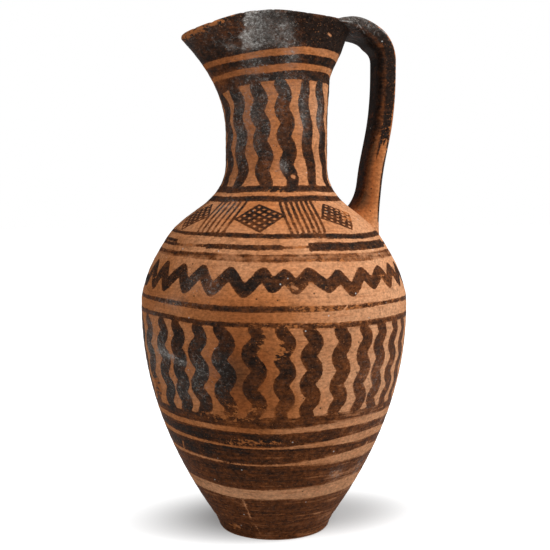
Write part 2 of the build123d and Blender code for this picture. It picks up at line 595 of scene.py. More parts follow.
@dataclass(frozen=True)
class SlantGroup:
    """A group of thin lines that come down the shoulder side by side."""

    top: Pair
    foot: Pair
    count: int
    width: float = 1.9

    def cover(self, points: WallPoints, low: float, high: float) -> Array:
        """Millimetres inside the nearest line, each line straight between its two ends.

        Args:
            points: Points of the wall.
            low: Height of the lines' feet.
            high: Height of their tops.

        Returns:
            Millimetres inside a line, negative outside.
        """
        share = np.clip((points.height - low) / (high - low), -0.2, 1.2)
        first = self.foot[0] + (self.top[0] - self.foot[0]) * share
        last = self.foot[1] + (self.top[1] - self.foot[1]) * share
        middle = 0.5 * (self.top[0] + self.top[1])
        place = (turn_between(points.angle, middle) + middle - first) / (last - first) * (self.count - 1)
        nearest = np.clip(np.round(place), 0, self.count - 1)
        gap = np.abs(place - nearest) * (last - first) / (self.count - 1) * np.radians(points.radius)
        upright = np.minimum(points.height - low, high - points.height)
        return np.minimum(0.5 * self.width - gap, upright)


@dataclass(frozen=True)
class Lozenge:
    """A cross-hatched lozenge on the shoulder, with its half sizes along the wall."""

    angle: float
    height: float
    half_width: float = 13.8
    half_height: float = 11.0
    skew: float = 0.0
    tilt: float = 0.0

    def lattice(self, points: WallPoints, run: float) -> tuple[Array, Array]:
        """Two slanting coordinates that reach ±1 on the lozenge's sides: s/w + h/t and s/w - h/t.

        Args:
            points: Points of the wall.
            run: Distance along the wall line at the lozenge's middle.

        Returns:
            The two coordinates.
        """
        up = (points.run - run) / self.half_height
        across = np.radians(turn_between(points.angle, self.angle)) * points.radius / self.half_width
        sideways = across + self.skew * up
        upwards = up - self.tilt * across
        return sideways + upwards, sideways - upwards


@dataclass(frozen=True)
class PaintedPattern:
    """The painted ornament: bands, friezes of wavy strokes, a zigzag, lozenges and slanting lines.

    Each figure gives a cover, the distance in millimetres that a point lies inside the slip. The
    painted side seen from the front is set stroke by stroke, and the rest of the way round goes on in
    the same rhythm with small steady changes.
    """

    front: float = -102.0
    neck_tilt: float = 4.15
    neck_tilt_turn: float = -68.0
    neck_tilt_start: float = 225.0
    neck_tilt_rise: float = 45.0
    bands: tuple[Band, ...] = (
        Band(292.2, 340, (-1.7, 0), (0.9, 0)),
        Band(283.3, 288.2, (-0.9, -0.3), (0.3, 0.9)),
        Band(274.2, 279, (-1.5, 1.2), (0, 1.3)),
        Band(209.2, 213),
        Band(203.8, 207),
        Band(183.6, 186.2, (1.8, 0.8), (-1.2, -0.9)),
        Band(177.9, 179.5, (0.6, 0.6), (-0.6, -0.6)),
        Band(170.8, 175, (2.2, 1), (-0.6, -0.4)),
        Band(143.6, 147.2, (3, 1.6), (1.3, 0)),
        Band(135.2, 138.1, (2.6, 2.4), (-0.8, -0.4)),
        Band(-9, 83.8, (0, 1), (0, 1.9)),
    )
    reserves: tuple[Band, ...] = (
        Band(74, 76.9, (3, 3.4), (2.1, 3.4)),
        Band(64.3, 65.2, (3, 5), (0.7, 5.2)),
        Band(53.4, 54.1, (2.2, 3.8), (0, 5.4)),
        Band(30.5, 36.7, (1, 2.5), (0.2, 2.7)),
    )
    dashes: tuple[Dash, ...] = (
        Dash(-184, -160, 180.6, 182.2),
        Dash(-136, -98, 177.4, 180.2),
        Dash(-85.5, -28, 176.2, 180.8),
        Dash(24, 88, 177, 181),
        Dash(101, 160, 177.8, 180.6),
    )
    scratches: tuple[Scratch, ...] = (
        Scratch((-123, 28.6), (-121, 16), 0.8),
        Scratch((-126, 25.4), (-122.6, 24.8), 0.6),
        Scratch((-118.5, 10), (-115.5, 4.5), 0.3),
        Scratch((-143, 8.6), (-136, 7), 0.7),
        Scratch((-65, 44), (-63, 46), 0.8),
        Scratch((-45.6, 61), (-44.8, 53), 1.5),
        Scratch((-68, 17.2), (-62, 17), 0.5),
        Scratch((-84.8, 218.6), (-83.4, 218.2), 2),
        Scratch((-94.6, 157.6), (-93, 156.6), 1.7),
        Scratch((-53, 302), (-49, 301), 1.3),
        Scratch((-85, 146.8), (-82.4, 143.8), 0.9),
        Scratch((-74.5, 143.6), (-72, 146.6), 0.9),
        Scratch((-158, 57), (-156, 62), 1),
    )
    belly_span: Pair = (84.0, 134.5)
    belly_strokes: tuple[WavyStroke, ...] = (
        WavyStroke(-167, 129, 17, 2.6, 9),
        WavyStroke(-154.2, 129.4, 16.5, 2.2, 8.7),
        WavyStroke(-144, 128.2, 13, 1.5, 9.4),
        WavyStroke(-133.8, 129.4, 19.6, 2.4, 9.2),
        WavyStroke(-122.2, 126.6, 19.4, 2.5, 9.4),
        WavyStroke(-109.8, 130, 19.4, 2.6, 8.8),
        WavyStroke(-97.8, 127, 16.2, 1.9, 8.8),
        WavyStroke(-87, 127.6, 16, 1.9, 9.2),
        WavyStroke(-74.3, 127, 16.6, 1.7, 9.2),
        WavyStroke(-63, 127.4, 17.6, 1.8, 8.4),
        WavyStroke(-53.7, 130, 15.6, 1.7, 8.8),
        WavyStroke(-43.3, 130, 16.4, 2.2, 7.8),
        WavyStroke(-33, 129, 16, 2.1, 7.8),
    )
    neck_span: Pair = (213.2, 272.4)
    neck_strokes: tuple[WavyStroke, ...] = (
        WavyStroke(-168.5, 263, 18, 1.6, 9, -0.08),
        WavyStroke(-145.2, 264, 21, 1.3, 8.8, -0.12),
        WavyStroke(-118.2, 265, 17.4, 1.4, 9.4, -0.16),
        WavyStroke(-91.5, 266, 16.4, 1.4, 8.9, -0.17),
        WavyStroke(-66.6, 247.5, 24, 1, 7.6, -0.20),
        WavyStroke(-41, 243, 18, 1.2, 8.8, -0.26),
    )
    belly_rest: HiddenStrokes = HiddenStrokes(
        18, ((-20.5, 11.86, 0.9, 2.3), (128, 0, 3, 1.7), (16.2, 0, 1.6, 3.1)), (2.1, 8.6)
    )
    neck_rest: HiddenStrokes = HiddenStrokes(
        9, ((-16.5, 23.8, 1.1, 2.1), (262, 0, 3, 1.9), (17, 0, 0, 0)), (1.4, 8, -0.11)
    )
    unsteady: tuple[Triple, ...] = ((0.2, 2.0, 31.0), (0.22, 7.0, -17.0))
    zigzag_turns: tuple[Pair, ...] = (
        (-176, 156.6), (-170.5, 166.4), (-164.5, 155.8), (-158.5, 166.4), (-154.3, 155.6),
        (-145.5, 165.5), (-141, 155.6), (-134, 165.2), (-128, 155.1), (-120.5, 164.8),
        (-114, 155.1), (-106.5, 164.9), (-102.5, 157.6), (-97.6, 163.8), (-93.3, 156.6),
        (-87.5, 164.2), (-79.6, 157.2), (-74, 162.8), (-68.8, 154.8), (-61.5, 163.8),
        (-56.5, 157.6), (-49.5, 163.9), (-44.5, 156.8), (-38.5, 164.2),
    )
    zigzag_low: float = 155.7
    zigzag_high: float = 164.7
    zigzag_width: float = 6.8
    zigzag_bend: float = 0.3
    zigzag_step: float = 11.7
    zigzag_margin: float = 12.0
    zigzag_stray: Pair = (0.8, 2.7)
    zigzag_swing: Pair = (0.7, 1.9)
    zigzag_points: int = 10
    shoulder_span: Pair = (186.0, 204.2)
    slant_groups: tuple[SlantGroup, ...] = (
        SlantGroup((-149.5, -125.2), (-146.5, -129.4), 6),
        SlantGroup((-98.4, -72.5), (-92.5, -74.6), 7),
        SlantGroup((57, 84), (60, 83), 6),
        SlantGroup((109, 136), (112, 134), 6),
        SlantGroup((160, 187), (163, 185), 6),
    )
    lozenges: tuple[Lozenge, ...] = (
        Lozenge(-162.5, 195, 13, 11.4, -0.1),
        Lozenge(-111.2, 194.8, 14.4, 11.6, 0.14, 0.14),
        Lozenge(-57.7, 195.3, 13.7, 11.6, 0.22, 0.17),
        Lozenge(44, 194.6),
        Lozenge(97.5, 194.8),
        Lozenge(148.5, 194.4),
    )
    lozenge_slant: float = 0.8
    mouth_inside_band: float = 284.0

    def level(self, angle: Array, height: Array) -> Array:
        """Height as the brush held it: tilted towards the spout on the neck, and a little unsteady.

        Args:
            angle: Angles in degrees.
            height: Heights in millimetres.

        Returns:
            Heights at which an even pattern has these points.
        """
        phi = np.radians(angle)
        turn = math.radians(self.neck_tilt_turn)
        tilt = self.neck_tilt * (np.cos(phi - turn) - math.cos(math.radians(self.front) - turn))
        tilt = tilt * rising(height, self.neck_tilt_start, self.neck_tilt_rise)
        sway = sum(depth * np.sin(waves * phi + height / climb) for depth, waves, climb in self.unsteady)
        return height - tilt + sway

    def zigzag_cover(self, points: WallPoints) -> Array:
        """Cover of the zigzag: half its width less the distance to its middle line.

        The middle line swings between low and high turning points, in strokes that are a blend of
        straight and eased ones.

        Args:
            points: Points of the wall.

        Returns:
            Millimetres inside the zigzag, negative outside.
        """
        first, last = self.zigzag_turns[0][0], self.zigzag_turns[-1][0]
        pairs = int(round((360.0 + first - last) / self.zigzag_step))
        steps = np.arange(1, 2 * pairs)
        hidden = last + (360.0 + first - last) * steps / (2 * pairs)
        hidden = hidden + self.zigzag_stray[0] * np.sin(self.zigzag_stray[1] * steps)
        shown = np.asarray(self.zigzag_turns)
        swing = np.where(steps % 2 == 1, self.zigzag_low, self.zigzag_high)
        swing = swing + self.zigzag_swing[0] * np.sin(self.zigzag_swing[1] * steps)
        angle = np.concatenate([shown[:, 0], hidden, [first + 360.0]])
        height = np.concatenate([shown[:, 1], swing, shown[:1, 1]])
        share = np.linspace(0.0, 1.0, self.zigzag_points, endpoint=False)
        bent = share + self.zigzag_bend * (ease(share) - share)
        line_angle = (angle[:-1, None] + (angle[1:] - angle[:-1])[:, None] * share).ravel()
        line_height = (height[:-1, None] + (height[1:] - height[:-1])[:, None] * bent).ravel()
        result = np.full(points.angle.shape, -FAR)
        near = points.height > self.zigzag_low - self.zigzag_margin
        near &= points.height < self.zigzag_high + self.zigzag_margin
        if not near.any():
            return result
        turn = np.radians(turn_between(points.angle[near][:, None], 0.0) - line_angle)
        turn = (turn + np.pi) % (2.0 * np.pi) - np.pi
        across = turn * points.radius[near][:, None]
        gap = np.hypot(across, points.height[near][:, None] - line_height).min(axis=1)
        result[near] = 0.5 * self.zigzag_width - gap
        return result

    def cover(self, points: WallPoints) -> Array:
        """Cover of all figures but the lozenges, the greatest of their covers.

        Args:
            points: Points of the wall.

        Returns:
            Millimetres inside the slip, negative on bare clay.
        """
        level = self.level(points.angle, points.height)
        result = np.full(points.angle.shape, -FAR)
        for band in self.bands:
            result = np.maximum(result, band.cover(points.angle, level))
        for reserve in self.reserves:
            result = np.minimum(result, -reserve.cover(points.angle, level))
        for dash in self.dashes:
            result = np.maximum(result, dash.cover(points, level))
        held = replace(points, height=level)
        friezes = (
            (self.belly_span, (*self.belly_strokes, *self.belly_rest.strokes())),
            (self.neck_span, (*self.neck_strokes, *self.neck_rest.strokes())),
            (self.shoulder_span, self.slant_groups),
        )
        for span, figures in friezes:
            for figure in figures:
                result = np.maximum(result, figure.cover(held, *span))
        result = np.maximum(result, self.zigzag_cover(held))
        for scratch in self.scratches:
            result = np.minimum(result, -scratch.cover(points))
        inside = points.height - self.mouth_inside_band
        return np.where(points.outside, result, inside)

    def lozenge_fields(self, points: WallPoints, form: JugForm) -> tuple[Array, Array]:
        """Cover of the nearest lozenge, and the slanting coordinates of its hatching.

        Args:
            points: Points of the wall.
            form: Wall lines of the jug.

        Returns:
            Cover in millimetres, and rows of the two coordinates with a zero.
        """
        line = form.body_line()
        length = distance_along(line)
        cover = np.full(points.angle.shape, -FAR)
        lattice = np.zeros(points.angle.shape + (3,))
        for lozenge in self.lozenges:
            run = float(np.interp(lozenge.height, line[:, 1], length))
            first, second = lozenge.lattice(points, run)
            side = 1.0 - np.maximum(np.abs(first), np.abs(second))
            inside = np.clip(side * lozenge.half_height * self.lozenge_slant, -FAR, FAR)
            closer = inside > cover
            cover = np.where(closer, inside, cover)
            lattice[..., 0] = np.where(closer, first, lattice[..., 0])
            lattice[..., 1] = np.where(closer, second, lattice[..., 1])
        return np.where(points.outside, cover, -FAR), lattice


@dataclass(frozen=True)
class Spot:
    """A soft patch of the wall where age or firing shows more, or less if its strength is negative."""

    angle: float
    height: float
    turn: float
    rise: float
    strength: float

    def weight(self, points: WallPoints) -> Array:
        """Strength at each point: a bell curve of turn and rise."""
        middle, spread = (self.angle, self.height), (self.turn, self.rise)
        return self.strength * blob(points.angle, points.height, middle, spread)


def spots(*rows: Range) -> tuple[Spot, ...]:
    """Patches from rows of angle, height, turn, rise and strength."""
    return tuple(Spot(*row) for row in rows)


@dataclass(frozen=True)
class Weathering:
    """How age has left the surface: tone and wear of the slip, grey film, and stain of the clay."""

    tone_levels: tuple[Pair, ...] = (
        (0, 0.42), (28, 0.45), (45, 0.50), (58, 0.62), (70, 0.70), (80, 0.50),
        (88, 0.70), (130, 0.78), (136, 0.60), (138, 0.56), (143, 0.66), (148, 0.70),
        (152, 0.80), (168, 0.80), (170.6, 0.42), (171.6, 0.40), (172.2, 0.20), (173.6, 0.20),
        (174.2, 0.46), (175.4, 0.46), (176, 0.86), (186, 0.80), (188, 0.30), (193, 0.55),
        (198, 0.85), (213, 0.80), (225, 0.86), (285, 0.90), (296, 0.96),
    )
    tone_spots: tuple[Spot, ...] = spots(
        (-150, 110, 30, 34, 0.25), (-122, 112, 9, 18, 0.18), (-58, 105, 22, 34, -0.22),
        (-95, 92, 10, 10, -0.22), (-112, 88, 15, 6, -0.4), (-110, 160, 7, 8, 0.2),
        (-93, 160, 9, 7, -0.12), (-70, 158, 6, 7, -0.2), (-42, 160, 8, 8, -0.25),
        (-128, 159, 5, 7, -0.25), (-111, 194, 14, 9, 0.4), (-58, 194, 12, 9, 0.3),
        (-162, 195, 12, 9, 0.2), (-148, 179, 8, 2.6, -0.7), (-92, 179, 6, 2.6, -0.7),
        (-172, 276, 26, 7, -0.45), (-112, 225, 8, 4, -0.35), (-96, 258, 8, 7, -0.25),
        (-158, 300, 22, 7, -0.22), (-120, 70, 40, 5, 0.16), (-150, 58, 20, 14, 0.22),
        (-45, 45, 28, 60, -0.15), (-45, 298, 25, 12, 0.35), (-95, 8, 40, 6, 0.15),
        (-130, 48, 14, 8, 0.2), (-72, 52, 10, 8, -0.2), (120, 110, 40, 30, 0.15),
    )
    wear_spots: tuple[Spot, ...] = spots(
        (-100, 123, 5, 6, 0.8), (-105.5, 124, 3.5, 9, 0.85), (-120, 90.5, 6, 4, 0.55),
        (-108, 89, 7, 4, 0.6), (-128, 84, 14, 4, 0.4), (-60, 145, 30, 4, 0.5),
        (-86, 145.5, 12, 4, 0.45), (-146, 145, 12, 4, 0.4), (-72, 171.5, 26, 3, 0.55),
        (-85, 137, 34, 3, 0.5), (-148, 179, 8, 2.6, 0.6), (-92, 179, 6, 2.6, 0.6),
        (-90, 158, 14, 8, 0.34), (-44, 159, 12, 8, 0.45), (-142, 161, 14, 9, 0.2),
        (-168, 158, 9, 9, 0.4), (-167, 95, 8, 9, 0.9), (-160, 60, 20, 14, 0.25),
        (-117, 68.5, 8, 2.6, 0.75), (-101, 68.5, 9, 3, 0.55), (-115, 82, 22, 3, 0.4),
        (-141, 7, 14, 5, 0.6), (-150, 24, 16, 10, 0.3), (-52, 196, 9, 8, 0.4),
        (-46, 196, 5, 6, 0.6), (-103, 209.5, 20, 2.6, 0.55), (60, 100, 25, 30, 0.35),
        (130, 40, 25, 20, 0.35),
    )
    film_spots: tuple[Spot, ...] = spots(
        (-88, 289, 9, 9, 0.55), (-124, 285, 14, 7, 0.5), (-94, 303, 9, 7, 0.6),
        (-145, 294, 5, 2.5, 0.5), (-158, 302, 34, 12, 0.22), (-162, 120, 12, 20, 0.55),
        (-155, 117.6, 4, 2.2, 0.7), (-149, 115.2, 4, 1.8, 0.8), (-143, 112.8, 4, 1.8, 0.7),
        (-131, 112, 12, 20, 0.36), (-148, 95, 12, 12, 0.34), (-133, 157, 12, 9, 0.36),
        (-148, 147, 8, 4, 0.45), (-150, 243, 20, 28, 0.46), (-115, 246, 26, 30, 0.26),
        (-72, 252, 8, 14, 0.45), (-131, 258, 8, 14, 0.3), (-48, 255, 9, 14, 0.6),
        (-95, 224, 6, 4, 0.5), (-64, 45, 6, 5, 0.5), (-55, 100, 16, 26, 0.2),
        (-140, 200, 12, 5, 0.35), (-43, 44, 4, 7, 0.5), (-95, 270, 40, 10, 0.25),
        (80, 200, 40, 40, 0.25), (100, 300, 30, 12, 0.5),
    )
    stain_spots: tuple[Spot, ...] = spots(
        (-111, 106, 12.5, 34, 1.75), (-142, 110, 22, 40, 0.55), (-96, 90, 8, 8, 0.7),
        (-118, 108, 6, 22, 0.6), (-112, 146, 32, 12, 0.75), (-165, 150, 16, 30, 0.45),
        (-105, 285, 80, 12, 1), (-168, 282, 26, 12, 0.6), (-126, 114, 8, 18, 0.4),
        (-118, 240, 60, 32, 0.85), (-131, 258, 10, 16, 0.5), (-110, 64, 50, 14, 0.4),
        (-104, 198, 44, 12, 0.45), (-44, 120, 24, 90, -0.45), (-100, 33, 90, 6, -0.45),
        (90, 130, 80, 80, 0.3),
    )
    base_wear: float = 0.24
    base_film: float = 0.06
    base_stain: float = 0.42
    most: Triple = (1.25, 1.1, 1.0)
    lip_wear: float = 0.2
    spout_lip_wear: float = 0.75
    spout_lip: Range = (-172.0, 34.0)
    crust_middle: float = -110.0
    crust_edge: float = -138.5
    crust_ripple: Range = (1.2, 1.3)
    crust_lean: float = 4.0
    crust_leans: Range = (299.0, 9.0)
    crust_softness: float = 2.4
    crust_end: float = -84.0
    crust_fade: float = 42.0
    crust_foot: Range = (290.0, 6.0)

    def condition(self, points: WallPoints, lip: Array | float) -> tuple[Array, Array]:
        """Tone, wear and film of each point, and the clay's stain.

        Args:
            points: Points of the wall.
            lip: How near each point is to the lip's edge, from 0 to 1.

        Returns:
            Rows of tone, wear and film, and the stain.
        """
        heights, tones = zip(*self.tone_levels)
        tone = np.interp(points.height, heights, tones)
        bases = (self.base_wear, self.base_film, self.base_stain)
        wear, film, stain = (np.full(tone.shape, base) for base in bases)
        patches = (self.tone_spots, self.wear_spots, self.film_spots, self.stain_spots)
        for values, group in zip((tone, wear, film, stain), patches):
            for spot in group:
                values += spot.weight(points)
        spout_lip = np.exp(-((turn_between(points.angle, self.spout_lip[0]) / self.spout_lip[1]) ** 4))
        wear += lip * (self.lip_wear + self.spout_lip_wear * spout_lip)
        film += self.mouth_crust(points)
        condition = np.clip(np.stack([tone, wear, film], axis=-1), 0.0, self.most)
        return condition, np.clip(stain, 0.0, MOST_STAIN)

    def mouth_crust(self, points: WallPoints) -> Array:
        """White crust on the mouth, with a sharp wavy edge towards the spout, fading behind and below.

        Args:
            points: Points of the wall.

        Returns:
            Film from 0 to 1.
        """
        height, pitch = self.crust_ripple
        edge = self.crust_edge + height * np.sin(points.height / pitch)
        edge = edge + self.crust_lean * rising(points.height, *self.crust_leans)
        turn = turn_between(points.angle, self.crust_middle) + self.crust_middle
        start = ease((turn - edge) / self.crust_softness)
        fade = ease((self.crust_end - turn) / self.crust_fade)
        rise = rising(points.height, *self.crust_foot)
        return np.where(points.outside, start * fade * rise, 0.0)


@dataclass(frozen=True)
class Cloud:
    """A cloudy noise: repeats per metre along x, y and z, number of octaves, and their roughness."""

    scale: Triple
    detail: float
    rough: float


class NodeKit:
    """Short calls for the nodes of one material."""

    def __init__(self, name: str) -> None:
        """Starts an empty material with an output."""
        self.material = bpy.data.materials.new(name)
        self.material.use_nodes = True
        self.tree = self.material.node_tree
        self.tree.nodes.clear()
        self.output = self.add("OutputMaterial")

    def add(self, kind: str) -> bpy.types.Node:
        """A new shader node of a kind."""
        return self.tree.nodes.new("ShaderNode" + kind)

    def feed(self, socket: Socket, value: object) -> None:
        """Links a socket into an input, or sets a plain value on it."""
        if isinstance(value, bpy.types.NodeSocket):
            self.tree.links.new(value, socket)
        else:
            socket.default_value = value

    def math(self, operation: str, first: object, second: object = 0.0, clamp: bool = False) -> Socket:
        """One step of arithmetic on numbers or sockets."""
        node = self.add("Math")
        node.operation = operation
        node.use_clamp = clamp
        self.feed(node.inputs[0], first)
        self.feed(node.inputs[1], second)
        return node.outputs[0]

    def plus(self, *terms: object) -> Socket:
        """Sum of numbers or sockets."""
        return reduce(lambda total, term: self.math("ADD", total, term), terms)

    def minus(self, first: object, second: object, clamp: bool = False) -> Socket:
        """Difference of two numbers or sockets."""
        return self.math("SUBTRACT", first, second, clamp)

    def times(self, *factors: object) -> Socket:
        """Product of numbers or sockets."""
        return reduce(lambda total, factor: self.math("MULTIPLY", total, factor), factors)

    def swing(self, noise: Socket, strength: object) -> Socket:
        """A noise taken about zero: (noise - 0.5)·strength."""
        return self.times(self.minus(noise, 0.5), strength)

    def around_one(self, *parts: tuple[Socket, float]) -> Socket:
        """A multiplier that swings round one by noises of given strengths and stays above zero."""
        total = self.plus(1.0, *(self.swing(noise, strength) for noise, strength in parts))
        return self.math("MAXIMUM", total, LEAST_MULTIPLIER)

    def blend(self, factor: object, first: object, second: object, mode: str = "MIX") -> Socket:
        """Two colours mixed by a factor."""
        node = self.add("Mix")
        node.data_type = "RGBA"
        node.blend_type = mode
        self.feed(node.inputs[0], factor)
        self.feed(node.inputs[6], first)
        self.feed(node.inputs[7], second)
        return node.outputs[2]

    def remap(
        self, value: object, low: object, high: object, to_low: float = 0.0, to_high: float = 1.0
    ) -> Socket:
        """A smooth step of a value from one range to another."""
        node = self.add("MapRange")
        node.interpolation_type = "SMOOTHSTEP"
        for socket, part in zip(node.inputs, (value, low, high, to_low, to_high)):
            self.feed(socket, part)
        return node.outputs[0]

    def place(self, scale: Triple) -> Socket:
        """Object coordinates stretched by a scale, in repeats per metre."""
        coordinates = self.add("TexCoord")
        mapping = self.add("Mapping")
        mapping.inputs["Scale"].default_value = scale
        self.feed(mapping.inputs["Vector"], coordinates.outputs["Object"])
        return mapping.outputs[0]

    def noise(self, cloud: Cloud) -> Socket:
        """Cloudy noise between 0 and 1 on Object coordinates."""
        node = self.add("TexNoise")
        self.feed(node.inputs["Vector"], self.place(cloud.scale))
        node.inputs["Scale"].default_value = 1.0
        node.inputs["Detail"].default_value = cloud.detail
        node.inputs["Roughness"].default_value = cloud.rough
        return node.outputs[0]

    def cells(self, scale: float) -> bpy.types.Node:
        """A random lattice on Object coordinates, with so many cells per metre."""
        node = self.add("TexVoronoi")
        self.feed(node.inputs["Vector"], self.place((scale, scale, scale)))
        node.inputs["Scale"].default_value = 1.0
        return node

    def specks(self, scale: float, size: float, share: float) -> Socket:
        """Small round dots at a share of the points of a random lattice."""
        node = self.cells(scale)
        chance = self.add("SeparateColor")
        self.feed(chance.inputs[0], node.outputs["Color"])
        kept = self.math("LESS_THAN", chance.outputs[0], share)
        return self.times(kept, self.remap(node.outputs["Distance"], size, 0.5 * size))

    def cracks(self, scale: float, width: float) -> Socket:
        """Thin lines along the cell borders of a random lattice."""
        node = self.cells(scale)
        node.feature = "DISTANCE_TO_EDGE"
        return self.remap(node.outputs["Distance"], width, 0.3 * width)

    def attribute(self, name: str, output: str) -> Socket:
        """An attribute of the mesh, as a number or a vector."""
        node = self.add("Attribute")
        node.attribute_name = name
        return node.outputs[output]

    def parts(self, vector: Socket) -> bpy.types.NodeOutputs:
        """The three numbers of a vector."""
        node = self.add("SeparateXYZ")
        self.feed(node.inputs[0], vector)
        return node.outputs

    def surface(
        self, colour: Socket, roughness: Socket, height: Socket, depth: float, specular: float
    ) -> None:
        """Closes the material with a Principled surface and a bump.

        Args:
            colour: Colour socket.
            roughness: Roughness socket.
            height: Height socket for the bump.
            depth: Depth of the bump in metres.
            specular: Specular level, even all over.
        """
        bump = self.add("Bump")
        bump.inputs["Strength"].default_value = BUMP_STRENGTH
        bump.inputs["Distance"].default_value = depth
        self.feed(bump.inputs["Height"], height)
        shader = self.add("BsdfPrincipled")
        shader.inputs["Specular IOR Level"].default_value = specular
        self.feed(shader.inputs["Base Color"], colour)
        self.feed(shader.inputs["Roughness"], roughness)
        self.feed(shader.inputs["Normal"], bump.outputs[0])
        self.feed(self.output.inputs["Surface"], shader.outputs[0])


@dataclass(frozen=True)
class ClayTones:
    """Colours of the fired clay as linear values, and the noises that spread them.

    Each range holds the two ends of a smooth step and, where they aren't 0 and 1, what they become.
    """

    pale: Colour = (0.63, 0.315, 0.163, 1.0)
    warm: Colour = (0.46, 0.166, 0.056, 1.0)
    rust: Colour = (0.30, 0.090, 0.025, 1.0)
    deep: Colour = (0.20, 0.066, 0.022, 1.0)
    stain: Colour = (0.10, 0.044, 0.020, 1.0)
    fresh: Colour = (0.40, 0.138, 0.042, 1.0)
    clouds: Cloud = Cloud((30.0, 30.0, 34.0), 6.0, 0.62)
    streaks: Cloud = Cloud((30.0, 30.0, 620.0), 6.0, 0.72)
    grains: Cloud = Cloud((480.0, 480.0, 700.0), 5.0, 0.66)
    stains: Cloud = Cloud((70.0, 70.0, 120.0), 8.0, 0.72)
    cloud_strength: float = 1.5
    streak_strength: float = 1.4
    grain_strength: float = 2.0
    streak_range: Range = (0.50, 0.68, 0.0, 0.60)
    stain_range: Range = (0.55, 0.72, 0.0, 0.55)

    def colour(self, kit: NodeKit, warmth: object) -> Socket:
        """Clay colour: pale to warm to rust to dark, with wheel streaks, stains and fine grain.

        Args:
            kit: Nodes of the material.
            warmth: How warm the clay is, a socket or a number from 0, pale, over 2, rust, to 3, dark.

        Returns:
            Colour socket.
        """
        streak = kit.noise(self.streaks)
        grain = kit.noise(self.grains)
        depth = kit.plus(warmth, kit.swing(kit.noise(self.clouds), self.cloud_strength))
        base = kit.blend(kit.math("MINIMUM", depth, 1.0, clamp=True), self.pale, self.warm)
        base = kit.blend(kit.minus(depth, 1.0, clamp=True), base, self.rust)
        base = kit.blend(kit.minus(depth, 2.0, clamp=True), base, self.stain)
        base = kit.blend(kit.remap(streak, *self.streak_range), base, self.deep)
        uneven = kit.around_one((streak, self.streak_strength), (grain, self.grain_strength))
        base = kit.blend(1.0, base, uneven, "MULTIPLY")
        return kit.blend(kit.remap(kit.noise(self.stains), *self.stain_range), base, self.stain)


